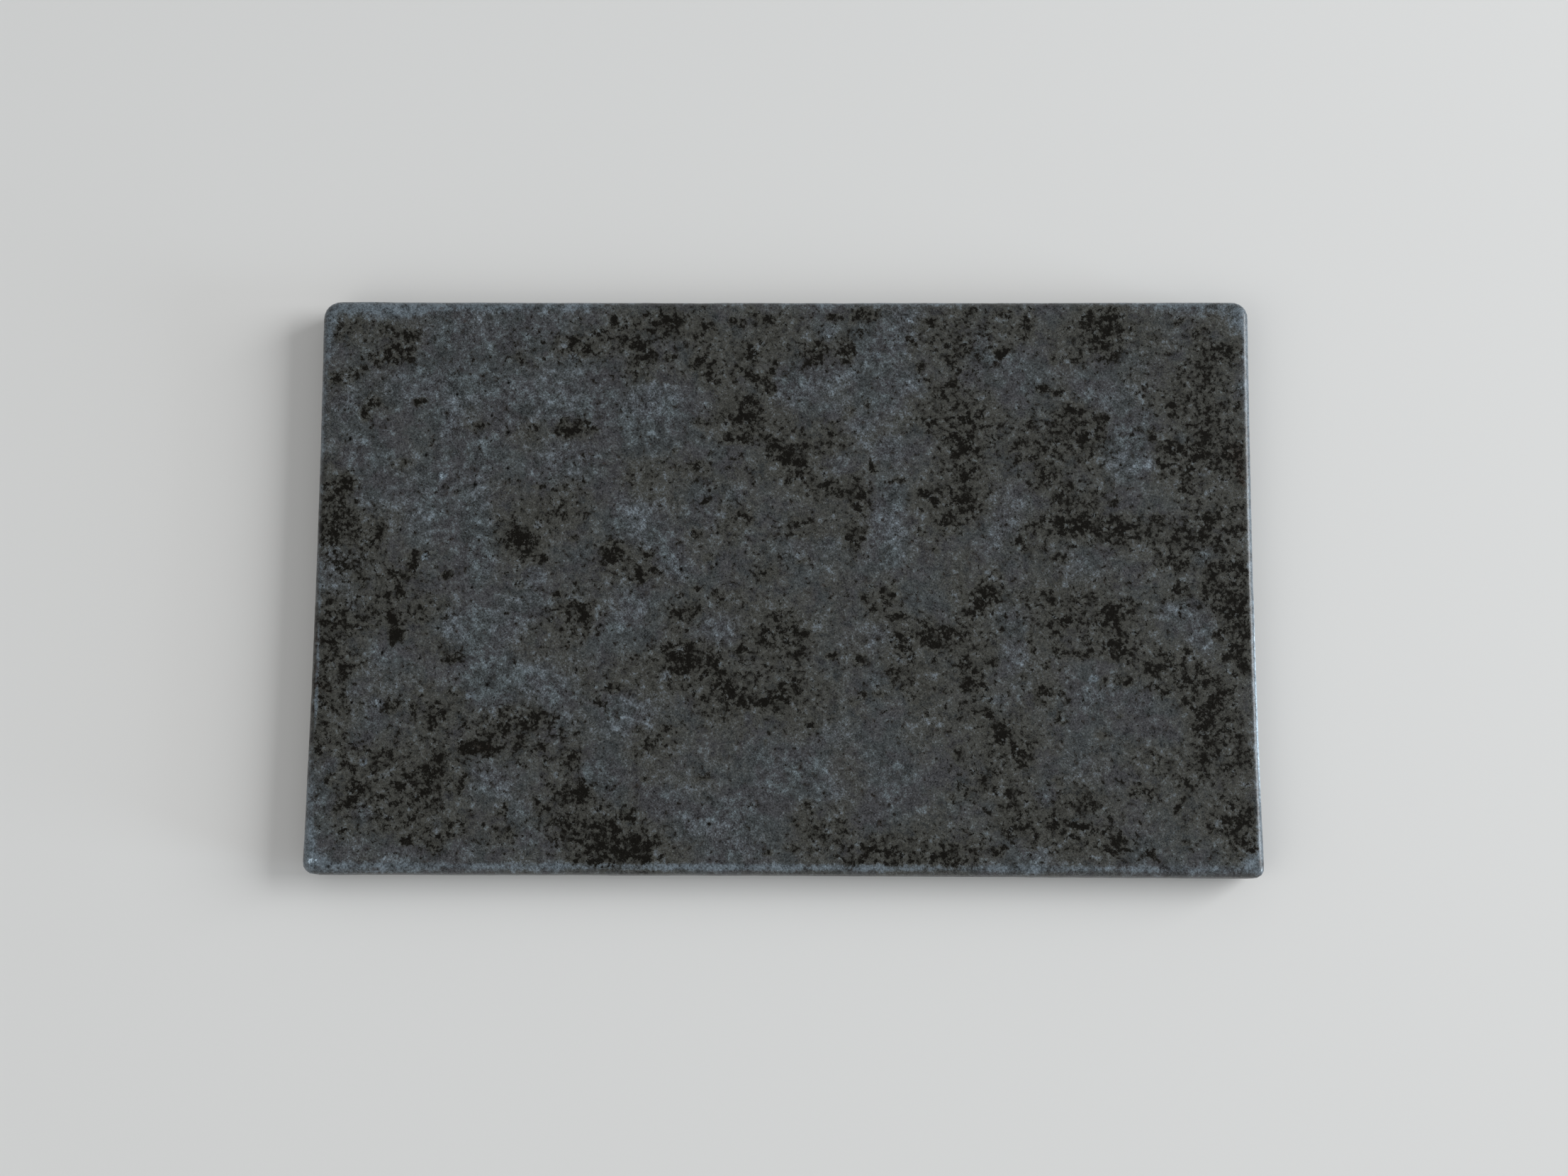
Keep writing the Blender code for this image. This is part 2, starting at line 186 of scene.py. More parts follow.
    (-64, -28, 1.5, 1, 0.7), (-65, -8, 4, 1.8, 0.9), (-62.5, -11.5, 2.6, 1.7, 0.9),
    (-61.5, -15, 1.8, 1.8, 0.8), (-65.5, -16, 1.3, 1.8, 0.8), (-72, -9, 1.8, 1, 0.9),
    (-71.5, -3.5, 2, 1.2, 1.05), (-83, -0.5, 1.4, 1.3, 0.8), (-145, -33.5, 4, 3, 0.6),
    # front, middle
    (-27, -2.7, 1.7, 1, 1.1), (-20.5, -4.5, 1.1, 1, 0.9), (-18.3, -6.3, 1.5, 1, 0.9),
    (-32, -10, 3.2, 1.4, 0.95), (-27.8, -9, 1.6, 0.9, 0.7), (-30.5, -19.8, 4.6, 1.3, 0.85),
    (-35.5, -22, 2.4, 1.8, 0.6), (-28.5, -22, 2.3, 1.6, 1.0), (-34, -25, 3.2, 2.2, 0.9),
    (-23, -24.5, 2.4, 2.6, 1.0), (-21.5, -28, 1.7, 1.7, 0.95), (-28, -26, 2.7, 2.2, 0.8),
    (-32, -28.5, 3.4, 1.3, 0.75), (-18, -33.3, 2.1, 1.9, 1.15), (-17, -36, 2.4, 1.9, 1.15),
    (-12, -34, 1.4, 1.2, 0.95), (-11.5, -37.5, 2.2, 1.4, 1.0), (-24.5, -37, 2, 0.9, 1.05),
    (-5, -37.8, 3.4, 1.4, 0.95), (-1, -36.3, 1.3, 1.3, 0.85), (-14, -39.7, 5, 1.3, 0.7),
    (-1.5, -41, 1.8, 1.3, 0.6), (-19, -44, 1.8, 1.5, 0.75), (-23, -41.5, 2.8, 1.1, 0.6),
    (-19, -28.7, 1.7, 1.7, 0.8), (-12.7, -29, 1.4, 1.1, 0.8), (-5.5, -17.7, 2.3, 2.4, 0.95),
    (-13.2, -21.5, 2, 1.1, 1.05), (-11.5, -19.5, 1.3, 1, 0.8), (-13, -24, 1.3, 1.4, 0.7),
    (-9, -22.5, 1.3, 1, 0.85), (-1, -12, 1.6, 2.8, 0.9), (2, -13.7, 2, 1.8, 0.75),
    (0.5, -18, 1.4, 2.2, 0.8), (6, -16.7, 2.8, 2.4, 0.7), (5, -23.5, 3, 3.4, 0.6),
    (4.3, -33.3, 2.8, 2.6, 0.65), (2.5, -37, 2.4, 2.2, 0.5), (15, -24, 1.6, 1.1, 1.0),
    (25, -25, 2.4, 1.7, 0.8), (26, -4.3, 1.1, 2, 1.1), (28.8, -8.3, 1.6, 1.3, 0.95),
    (33.3, -4, 2.3, 2, 0.85), (35, -11.5, 2.2, 1.2, 1.05), (38, -18.3, 2.8, 1.2, 0.8),
    (38.5, -21, 1.8, 1.1, 1.05), (47, -15.7, 3.4, 3, 0.8), (46.5, -20, 4.2, 1.3, 0.9),
    (35.3, -28.2, 2.4, 1.7, 0.95), (34.5, -31.7, 1.1, 1.3, 0.8), (39.3, -32.5, 1.7, 2, 0.7),
    (40.7, -37.2, 1.3, 1.3, 0.9), (26, -35.5, 1.6, 1.7, 0.9), (30, -35, 1.1, 0.8, 0.8),
    (23, -38, 1.3, 0.9, 0.8), (8.5, -45.3, 1.6, 1, 1.05), (-5.3, -50.5, 0.7, 0.9, 0.95),
    (45, -43, 1.4, 0.9, 0.65), (-36.3, -47.5, 1.8, 1, 1.0), (-33, -47.3, 1, 0.8, 0.9),
    (-38.8, -50.3, 1.5, 1, 1.05), (-45, -48, 2, 1.5, 0.8), (-43, -52, 1.6, 1.4, 0.9),
    (-45, -55.8, 1.5, 0.7, 0.9), (-43, -61.8, 1.4, 0.8, 1.05), (-25, -62.6, 2.3, 0.8, 1.1),
    (-44.7, -37, 0.8, 0.7, 0.9), (-48.7, -74, 1.8, 2.2, 1.0), (-46, -80.5, 2.7, 2.2, 1.15),
    (-45, -84.5, 3.6, 2.7, 1.15), (-39.5, -81.7, 2.4, 1.3, 0.95), (-42, -88, 1.3, 1.2, 0.9),
    (-37.5, -87.3, 1.4, 1.4, 0.85), (-4, -85.2, 1.8, 0.9, 0.9), (2.5, -84, 2, 1.3, 0.6),
    (10.5, -76.3, 2, 1.5, 0.85), (12, -79, 2.4, 1.1, 0.7), (18, -78, 2.2, 1.5, 0.8),
    (16, -82.3, 1.8, 1.3, 0.8), (8.5, -70, 1.4, 1.8, 0.6), (22.3, -87.7, 2.6, 1.7, 1.05),
    (27.3, -83.3, 1.6, 1.6, 1.0), (32, -84.3, 2.4, 2.4, 1.0), (34.5, -88.8, 2.8, 0.8, 1.0),
    (41.5, -87.5, 2.2, 1.3, 0.9), (47.5, -87.3, 2.2, 1.3, 1.0), (51.5, -85.5, 2.8, 2.2, 1.05),
    # front right quarter
    (64, -3.5, 3.2, 2.7, 1.15), (67.5, -4.5, 1.7, 1.6, 1.0), (62, -7.3, 2.2, 1.3, 0.8),
    (58.5, -11, 2.3, 1.5, 0.9), (53.5, -16.5, 3.4, 1.4, 0.8), (83, -3.5, 2, 1.4, 1.1),
    (85, -7.3, 1.8, 2.2, 0.95), (95, -4, 3, 2.2, 0.7), (88.5, -12, 3.4, 2.2, 0.7),
    (87, -16.3, 1.8, 1.2, 0.95), (68.3, -15.8, 1, 0.8, 1.0), (77.5, -17.5, 1.1, 1.8, 1.05),
    (78, -21, 1, 1.4, 1.05), (103, -9, 2.8, 2.2, 0.8), (103, -12, 2.7, 1.7, 1.0), (110, -9, 2, 2.4, 0.55),
    (106, -15.7, 2, 2.2, 0.9), (105.5, -20, 2.7, 2.7, 1.05), (108.5, -22.5, 2.2, 2.7, 1.0),
    (104.5, -23.3, 1.8, 2, 0.9), (86.5, -21.5, 2.6, 1.5, 0.8), (94, -22, 3.4, 1.3, 0.8),
    (58, -25.5, 1.8, 2.4, 0.7), (60.5, -28.5, 2, 1.7, 1.0), (58.5, -32, 3.2, 2.2, 0.75),
    (66, -25.5, 1.9, 1.3, 0.7), (75, -29.3, 1.1, 0.9, 1.0), (82.3, -26.5, 1.3, 1, 0.8),
    (82, -34.2, 1.5, 1.3, 1.1), (85, -34.5, 1.5, 1, 1.0), (88.5, -34.3, 1.2, 1.2, 1.0),
    (81, -37, 1.2, 1.2, 0.7), (90, -37.3, 1.3, 1.7, 0.8), (101, -31.5, 0.9, 0.9, 0.95),
    (107.7, -32, 2, 1.4, 1.1), (118, -22.5, 1.8, 1.4, 0.8), (126.7, -22.8, 1.5, 1.5, 1.1),
    (122, -22.3, 1.5, 1, 0.65), (117.5, -27.3, 3, 1.9, 0.9), (124, -28, 2, 1.4, 0.7),
    (119.5, -34, 1.9, 1.8, 0.7), (131, -27.5, 1.7, 1.7, 1.0), (128.8, -32, 2.2, 1.9, 1.1),
    (134.5, -32, 1.4, 1.8, 0.9), (138, -33.5, 1.4, 1.8, 0.9), (134.5, -38.5, 3, 2.2, 0.9),
    (127, -38.3, 1.9, 1.4, 0.7), (133.5, -44, 3.2, 2.7, 0.95), (129.5, -45, 1.8, 1.8, 0.9),
    (138, -16, 1.7, 2.5, 1.05), (144.2, -7.5, 2, 3.8, 1.0), (141, -11, 1.8, 1.8, 0.75),
    (145, -16, 1.4, 2.7, 1.0), (143, -22.5, 2.2, 2.2, 1.1), (145, -26.5, 1.5, 2.2, 1.1),
    (139, -23.5, 1, 1, 0.9), (133.5, -3, 2.2, 1.7, 0.95), (138.5, -4, 1.5, 1.7, 0.9),
    (125.5, -2, 2.4, 2.2, 0.8), (87, -42.3, 1.1, 1.4, 1.1), (89, -43.8, 1.2, 0.7, 0.9),
    (69, -47, 2, 1.7, 1.1), (67.5, -49.5, 1.7, 1.1, 1.0), (71.3, -50.7, 2.8, 1.5, 0.9),
    (73.5, -54.5, 2.4, 1.8, 0.75), (75, -57, 1.6, 1.3, 0.75), (77, -51, 1.8, 1.3, 0.7),
    (55.5, -54.5, 2, 1.7, 0.8), (64, -41.3, 2.8, 1.3, 0.7), (99.5, -47.5, 1.6, 1.1, 0.8),
    (104.5, -42, 0.8, 0.7, 0.95), (134, -52, 2.4, 1.9, 0.8), (131.5, -56, 2.2, 2.2, 0.8),
    (132, -60, 2.4, 1.3, 0.9), (142.5, -49, 2.3, 1, 0.9), (143.5, -55, 2.8, 2.2, 0.7),
    (139, -58, 2, 1.1, 1.0), (125, -63.3, 2.3, 1.3, 0.85), (115.5, -55, 1.8, 1.8, 0.7),
    (117, -59, 1.5, 1.8, 0.7), (112, -65.5, 4.4, 2.2, 0.6), (123.3, -70.5, 1, 1.4, 1.0),
    (125, -68, 1.3, 0.9, 0.8), (141.8, -68, 1.5, 1.3, 0.8), (62, -63, 1.6, 2, 0.75),
    (57.5, -65.5, 2, 1.5, 0.6), (52.5, -67, 1.4, 1.8, 0.65), (72.5, -67, 1.9, 1.6, 0.9),
    (73, -71.5, 2.6, 1.8, 0.5), (95, -70, 2.8, 2.2, 0.8), (88, -69, 2, 1.6, 0.6),
    (86, -62.5, 1.6, 0.8, 0.85), (93, -77, 2.7, 1.2, 1.0), (96.7, -78.7, 1.5, 1.8, 0.95),
    (85, -76.5, 2.4, 1.7, 0.7), (72, -78, 2.4, 1.8, 0.7), (104.5, -82, 1.8, 1.4, 1.0),
    (102.5, -84.5, 2.2, 1.1, 1.1), (78.5, -83, 1.3, 1.5, 0.9), (67, -85, 2.4, 1.7, 0.8),
    (54.3, -88.3, 2.4, 1.2, 1.05), (114.2, -85, 1.2, 2, 1.05), (125.3, -81.2, 1.1, 0.8, 1.0),
    (132.5, -76.8, 1.1, 1.1, 1.0), (142, -82, 2.8, 2.2, 0.9), (145.3, -84, 1.6, 1.7, 0.95),
    (144.5, -72.5, 2, 1.8, 0.9), (141, -75.5, 1.8, 1.5, 0.75), (138, -77, 1.7, 1.3, 0.7),
    (143, -87, 1.3, 1, 0.7),
)

FROST_PATCHES_MM = (
    # clouds on the face
    (-107.5, 53, 3, 4.5, 0.9), (-133, 42, 8, 6, 0.5), (-120, 64, 9, 6, 0.5), (-104, 66, 9, 6, 0.6),
    (-78, 58, 10, 5, 0.6), (-60, 57, 7, 5, 0.6), (-96, 42, 5, 6, 0.6), (-70, 38, 8, 6, 0.55),
    (-112, 27, 5, 8, 0.5), (-98, 20, 4, 10, 0.65), (-96, 5, 5, 5, 0.7), (-144, 6, 5, 6, 0.75),
    (-135, 7, 4, 4, 0.55), (-130, 28, 8, 4, 0.45), (-79, 2, 3, 3, 0.8), (-115, 20, 4, 5, 0.45),
    (-140, 57, 5, 4, 0.45), (-83, 80, 3, 3, 0.6), (-109, 80, 5, 3, 0.5), (-66, 70, 8, 4, 0.45),
    (-66.5, 8.5, 1.5, 1.2, 0.8), (-51, 22, 3, 6, 0.6), (-42, 60, 8, 4, 0.75), (-38, 55, 8, 4, 0.8),
    (-48, 52, 6, 5, 0.6), (-42, 46, 5, 3, 0.45), (-47, 20, 6, 5, 0.7), (-42, 14, 5, 4, 0.65),
    (-36, 8, 4, 4, 0.75), (-33, 4, 3, 3, 0.6), (-27, 27, 3, 5, 0.55), (-15.5, 27, 2.5, 3.5, 0.6),
    (-23, 20, 3, 5, 0.45), (4, 64, 6, 5, 0.8), (15, 68, 6, 3, 0.6), (24, 67.5, 2.5, 2, 0.95),
    (13.5, 82, 3.5, 2.5, 0.7), (28, 77, 7, 5, 0.6), (38, 80, 5, 5, 0.6), (40, 87, 5, 3, 0.7),
    (37, 66, 6, 4, 0.65), (32, 59, 6, 5, 0.45), (25, 51, 4, 3, 0.55), (34, 43, 7, 4, 0.6),
    (17, 38, 4, 3, 0.5), (35, 27, 3, 5, 0.75), (32, 20, 5, 5, 0.65), (36, 13, 5, 4, 0.6),
    (35, 7, 3, 3, 0.45), (14, 12, 3, 2, 0.5), (2, 10, 4, 6, 0.35), (16, 56, 3, 2, 0.5), (66, 72, 5, 3, 0.7),
    (63, 79, 3, 4, 0.55), (75, 71, 3, 3, 0.5), (78, 63.5, 3.5, 2, 0.6), (69, 16, 5, 5, 0.5),
    (74, 26, 7, 6, 0.3), (111, 44, 6, 5, 0.75), (108, 39, 4.5, 4, 0.9), (115, 37.5, 3.5, 3, 0.9),
    (105, 59, 7, 3.5, 0.5), (116, 54, 3, 2.5, 0.7), (109, 49, 3, 4, 0.6), (115, 72, 5, 3, 0.4),
    (132.5, 8, 3, 3, 0.75), (106, 25, 1.7, 1.5, 0.5), (127.5, 47, 2, 2, 0.6), (133.5, 34.5, 1.4, 1, 0.8),
    (147, 62, 2, 2.5, 0.8), (95, 67, 10, 6, 0.3), (93, 8, 8, 6, 0.3), (-95, -13, 9, 5, 0.65),
    (-105, -15, 3, 3.5, 0.7), (-99, -22, 3, 4, 0.8), (-92.5, -26, 4, 3, 1.0), (-93, -35, 5, 5, 1.0),
    (-87, -34.5, 2.5, 4, 0.95), (-79, -31, 5, 3, 0.75), (-72, -35.5, 3.5, 3.5, 1.0), (-70, -46, 4, 5, 0.5),
    (-80, -8, 5, 5, 0.45), (-136, -8, 2.5, 2, 0.75), (-141, -3, 5, 4, 0.5), (-126.5, -24, 4, 3, 0.45),
    (-127, -38.7, 1.6, 1.6, 0.95), (-128.5, -44, 2.5, 4.5, 0.7), (-136, -35, 2, 3, 0.5),
    (-141, -58.5, 2.2, 1.7, 0.95), (-145.5, -68, 4, 5, 0.65), (-131, -74, 2.5, 3.5, 0.85),
    (-94, -61.5, 4, 4, 0.7), (-87, -66, 4, 3, 0.5), (-60.2, -60.3, 2, 2.5, 1.05), (-55, -63, 5, 6, 0.55),
    (-82, -73, 4, 4, 0.35), (-71.5, -83, 2.5, 1.7, 0.75), (-79, -80.5, 5, 3, 0.45),
    (-107.5, -76.5, 1.7, 1.7, 0.8), (-98, -84, 6, 4, 0.4), (-118, -86, 7, 3, 0.45), (-135, -84, 6, 4, 0.4),
    (-52, -14, 4, 4, 0.6), (-51, -38.5, 4, 2, 0.75), (-52, -45, 5, 3, 0.45), (-46.5, -6, 5, 4, 0.7),
    (-20, -15, 5, 4, 0.6), (-37, -29, 1.8, 1.3, 0.95), (-46, -42, 7, 5, 0.4), (-10.3, -43.5, 1.2, 2, 0.7),
    (30, -17, 3.5, 3.5, 0.55), (-25, -76, 7, 3.5, 0.85), (-14, -73, 8, 5, 0.65), (-36, -69, 6, 4, 0.6),
    (-14, -84, 8, 3.5, 0.55), (5, -59, 7, 5, 0.55), (-3, -65, 5, 3, 0.6), (14, -66, 6, 4, 0.5),
    (35, -65, 9, 7, 0.42), (31, -55, 5, 4, 0.35), (-6, -56, 3, 2.5, 0.5), (16, -48, 7, 4, 0.35),
    (29.5, -31, 1.7, 1.2, 0.95), (36.5, -57.5, 1.6, 1.1, 0.85), (28, -75, 4, 3, 0.35),
    (41, -5, 3, 2.5, 0.5), (68.5, -37, 2.2, 1.3, 0.9), (73, -24, 3, 5, 0.45), (70, -10, 4, 4, 0.5),
    (124, -8.5, 4.5, 2.5, 0.75), (132, -17, 4, 4, 0.5), (97, -36.5, 6, 3, 0.55), (112, -38.5, 4, 3, 0.5),
    (82, -67, 3, 3, 0.8), (65, -71, 3, 3, 0.5), (78, -86.5, 5, 2.5, 0.7), (86.3, -82, 1.2, 0.8, 1.0),
    (91.2, -75.5, 1.2, 0.7, 0.9), (110, -82, 5, 5, 0.4), (92, -55, 4, 5, 0.3), (71, -82, 2.5, 1.4, 0.6),
    (97, -60, 9, 5, 0.25),
)

# Broad stretches: grains scattered thinly round the dense ones above, and a faint haze round the clouds.

IRON_STRETCHES_MM = (
    (-143, 84, 7, 6, 0.5), (-126, 77, 10, 10, 0.45), (-143, 67, 8, 5, 0.35), (-133, 57, 6, 5, 0.35),
    (-144, 29, 6, 7, 0.55), (-141, 17, 10, 9, 0.62), (-143, 5, 6, 5, 0.4), (-132, 15, 6, 6, 0.2),
    (-120, 5, 12, 6, 0.3), (-138, -10, 12, 7, 0.45), (-144, -14, 6, 8, 0.6), (-123, -10, 8, 10, 0.35),
    (-112, -8, 7, 6, 0.4), (-106, -23, 6, 4, 0.4), (-142, -25, 8, 7, 0.6), (-144, -37, 7, 9, 0.6),
    (-122, -41, 9, 5, 0.4), (-109, -43, 7, 6, 0.45), (-85, -46, 18, 8, 0.5), (-95, -54, 12, 5, 0.45),
    (-112, -62, 14, 10, 0.5), (-143, -53, 7, 7, 0.5), (-128, -54, 8, 6, 0.35), (-137, -68, 12, 10, 0.45),
    (-120, -75, 16, 9, 0.35), (-105, -80, 12, 6, 0.3), (-86, -78, 8, 6, 0.25), (-66, -68, 12, 10, 0.45),
    (-70, -54, 8, 6, 0.35), (-66, -80, 10, 6, 0.45), (-52, -84, 16, 10, 0.6), (-67, -11, 12, 9, 0.45),
    (-52, -30, 8, 8, 0.25), (-60, -35, 8, 6, 0.25), (-30, -24, 14, 9, 0.45), (-12, -35, 20, 9, 0.5),
    (-5, -17, 10, 9, 0.35), (-38, -50, 8, 6, 0.35), (-55, 8, 9, 6, 0.4), (-43, 4, 8, 6, 0.35),
    (-84, 13, 8, 8, 0.45), (-78, 20, 16, 8, 0.2), (-70, 32, 14, 8, 0.25), (-85, 50, 12, 4, 0.25),
    (-68, 49, 10, 4, 0.4), (-83, 77, 10, 8, 0.25), (-66, 77, 8, 7, 0.4), (-50, 76, 12, 12, 0.35),
    (-38, 84, 10, 8, 0.35), (-25, 76, 10, 9, 0.3), (-10, 70, 12, 12, 0.25), (-10, 86, 14, 5, 0.2),
    (-14, 52, 11, 8, 0.4), (-28, 36, 10, 6, 0.3), (-45, 34, 6, 8, 0.25), (-22, 24, 10, 10, 0.2),
    (-10, 8, 12, 8, 0.25), (-14, 21, 6, 5, 0.3), (-22, -5, 10, 5, 0.25), (-32, -10, 8, 4, 0.35),
    (-10, 40, 10, 6, 0.25), (5, 78, 14, 8, 0.3), (10, 74, 5, 6, 0.45), (20, 74, 5, 7, 0.4),
    (25, 86, 8, 5, 0.4), (52, 78, 14, 10, 0.4), (56, 66, 9, 12, 0.35), (70, 82, 12, 8, 0.4),
    (60, 52, 12, 7, 0.35), (57, 42, 8, 10, 0.6), (58, 27, 7, 9, 0.55), (52, 19, 6, 4, 0.35),
    (46, 28, 7, 6, 0.4), (46, 55, 8, 6, 0.35), (13, 47, 10, 6, 0.35), (3, 40, 6, 9, 0.5),
    (16, 31, 10, 5, 0.45), (25, 27, 5, 7, 0.4), (5, 18, 8, 5, 0.3), (22, 14, 5, 6, 0.3),
    (102, 83, 10, 9, 0.55), (110, 75, 12, 8, 0.3), (92, 76, 8, 7, 0.2), (85, 62, 6, 4, 0.35),
    (80, 46, 12, 10, 0.45), (95, 50, 10, 9, 0.62), (99, 39, 6, 6, 0.35), (82, 34, 8, 8, 0.35),
    (93, 27, 10, 8, 0.4), (90, 18, 14, 5, 0.7), (106, 17, 8, 6, 0.55), (117, 18, 8, 6, 0.4),
    (76, 12, 6, 5, 0.4), (88, 8, 8, 4, 0.25), (134, 72, 8, 14, 0.4), (143, 74, 6, 6, 0.4),
    (126, 60, 8, 8, 0.4), (118, 60, 10, 8, 0.25), (136, 54, 8, 8, 0.45), (128, 43, 14, 7, 0.55),
    (143, 41, 6, 8, 0.65), (128, 33, 7, 7, 0.35), (137, 20, 12, 9, 0.5), (124, 11, 10, 9, 0.45),
    (140, 6, 9, 7, 0.5), (142, 60, 6, 8, 0.25), (66, -5, 10, 7, 0.45), (84, -5, 7, 6, 0.45),
    (90, -13, 12, 8, 0.4), (104, -13, 10, 12, 0.5), (52, -17, 16, 6, 0.45), (30, -6, 10, 6, 0.35),
    (38, -20, 8, 6, 0.35), (60, -28, 9, 9, 0.45), (35, -30, 10, 6, 0.3), (18, -24, 8, 5, 0.2),
    (3, -22, 10, 12, 0.15), (5, -38, 14, 8, 0.15), (62, -42, 10, 6, 0.4), (72, -51, 9, 8, 0.5),
    (85, -36, 8, 5, 0.35), (107, -31, 5, 3, 0.35), (120, -27, 8, 8, 0.45), (133, -35, 9, 10, 0.6),
    (134, -50, 8, 12, 0.55), (144, -13, 6, 15, 0.7), (135, -5, 14, 6, 0.5), (143, -52, 6, 8, 0.4),
    (118, -60, 14, 8, 0.3), (60, -60, 10, 9, 0.35), (72, -70, 9, 8, 0.4), (90, -72, 14, 9, 0.45),
    (95, -80, 12, 6, 0.4), (75, -80, 12, 6, 0.3), (54, -86, 10, 5, 0.65), (30, -85, 14, 6, 0.5),
    (13, -78, 10, 8, 0.4), (45, -80, 10, 6, 0.25), (142, -79, 7, 11, 0.65), (130, -75, 8, 8, 0.25),
    (115, -85, 8, 5, 0.25), (104, -83, 6, 4, 0.4),
)

FROST_STRETCHES_MM = (
    (-110, 72, 30, 14, 0.35), (-88, 84, 28, 7, 0.62), (-116, 67, 10, 8, 0.25), (-90, 64, 40, 8, 0.35),
    (-75, 58, 25, 8, 0.4), (-40, 58, 14, 8, 0.5), (-108, 52, 4, 10, 0.5), (-140, 58, 10, 14, 0.35),
    (-98, 40, 8, 12, 0.35), (-70, 40, 14, 8, 0.35), (-110, 25, 12, 20, 0.35), (-98, 20, 5, 14, 0.4),
    (-128, 30, 12, 10, 0.3), (-142, 5, 10, 6, 0.2), (-95, -12, 16, 8, 0.4), (-75, -5, 14, 5, 0.35),
    (-98, -25, 8, 10, 0.4), (-90, -32, 12, 10, 0.5), (-73, -34, 9, 6, 0.5), (-55, -42, 16, 8, 0.45),
    (-60, -20, 8, 8, 0.3), (-48, -10, 12, 12, 0.35), (-128, -35, 10, 10, 0.3), (-92, -62, 10, 8, 0.35),
    (-80, -70, 10, 8, 0.25), (-57, -62, 8, 8, 0.4), (-25, -75, 20, 8, 0.24), (-10, -83, 16, 6, 0.15),
    (0, -60, 14, 8, 0.22), (-30, -60, 10, 8, 0.18), (-145, -74, 5, 14, 0.25), (-110, -86, 20, 5, 0.15),
    (-75, -84, 12, 5, 0.15), (-46, 18, 9, 9, 0.4), (-35, 8, 6, 8, 0.4), (-25, 28, 10, 8, 0.25),
    (-20, 42, 14, 6, 0.3), (-48, 45, 8, 8, 0.3), (-20, -15, 8, 8, 0.35), (8, 65, 14, 9, 0.5),
    (30, 66, 16, 12, 0.28), (35, 83, 12, 8, 0.35), (14, 82, 8, 6, 0.35), (30, 45, 16, 8, 0.12),
    (34, 22, 7, 16, 0.36), (8, 10, 16, 6, 0.25), (66, 72, 10, 10, 0.35), (75, 62, 8, 8, 0.3),
    (105, 62, 14, 6, 0.3), (109, 44, 9, 12, 0.5), (115, 72, 8, 8, 0.2), (70, 15, 8, 10, 0.3),
    (78, 28, 8, 8, 0.2), (90, 5, 14, 8, 0.25), (127, -8, 8, 5, 0.4), (133, -16, 7, 7, 0.35),
    (72, -8, 6, 8, 0.3), (73, -24, 6, 12, 0.35), (100, -36, 20, 6, 0.25), (25, -20, 12, 12, 0.25),
    (30, -60, 26, 14, 0.08), (5, -60, 14, 14, 0.06), (110, -80, 10, 10, 0.12), (75, -87, 20, 4, 0.2),
    (125, -86, 14, 5, 0.08), (5, -87, 14, 5, 0.15),
)

# The rim, where the stone is bruised pale. Along the right edge and at the front left corner it is also a
# painted highlight: a pale blue-white band where the rounded edge catches the light.

RIM_WEAR_AND_HIGHLIGHT_MM = (
    (-134, 91, 20, 4, 0.8), (-98, 91.5, 24, 3, 0.75), (-125, 88, 6, 2, 0.45), (-147.5, 82, 2.6, 9, 0.6),
    (-66, 91.5, 8, 2.4, 0.6), (0, 92.3, 150, 1.2, 0.4), (13, 91.8, 13, 2, 0.4), (38, 91.8, 14, 2, 0.4),
    (112, 92, 12, 2, 0.4), (135, 91, 13, 3, 0.6), (146.5, 87, 3.5, 4.5, 0.75), (149, 75, 1.5, 30, 0.7),
    (149.0, 15, 1.3, 60, 0.8), (149.0, -45, 1.3, 56, 1.0), (146, -88, 3, 3, 0.8),
    (0, -89.7, 150, 1.0, 0.35), (-128, -90.3, 24, 2.0, 0.6), (-88, -89.9, 16, 1.3, 0.4),
    (-71, -90, 4, 2, 0.5), (-22, -89.7, 36, 1.1, 0.6), (30, -89.9, 22, 1.1, 0.4), (75, -90, 18, 1.4, 0.5),
    (125, -90.1, 26, 1.4, 0.4), (-148, -83, 2.6, 9, 0.75), (-145.5, -88.7, 4.5, 2.2, 0.8),
    (-147.1, -32, 0.55, 14, 0.85), (-147.3, -6, 0.5, 12, 0.45), (-146.2, -87.8, 2.2, 0.8, 0.96),
    (-148.8, 52, 1.6, 32, 0.5), (-149, 5, 1.6, 10, 0.4), (-148.5, -66, 2, 10, 0.5),
    (-109.6, 34.3, 0.5, 0.95, 1.7), (-109.0, 33.6, 0.75, 0.35, 1.7),
)

RUST_PATCHES_MM = (
    (143.5, 42.5, 3.4, 3.6, 1.0), (145.5, 35, 1.6, 5, 0.9), (146, 17, 1.6, 4, 0.5),
    (-94, -52.8, 3.4, 1.8, 0.9), (-145, -34, 4, 3, 0.7), (-148.6, -15, 1.3, 6, 0.8),
    (-148.6, -34, 1.2, 9, 1.0), (54.3, -88.3, 3, 1.6, 0.6), (50.5, -16.5, 5, 1.4, 0.4),
    (-38.5, 84, 3, 2.4, 0.4), (-48, 84, 2.5, 2, 0.4), (-61, -8, 3, 2, 0.3), (135, 85, 3, 2, 0.35),
    (105, 26, 3, 1.4, 0.4), (-100, 50, 4, 2, 0.3),
)

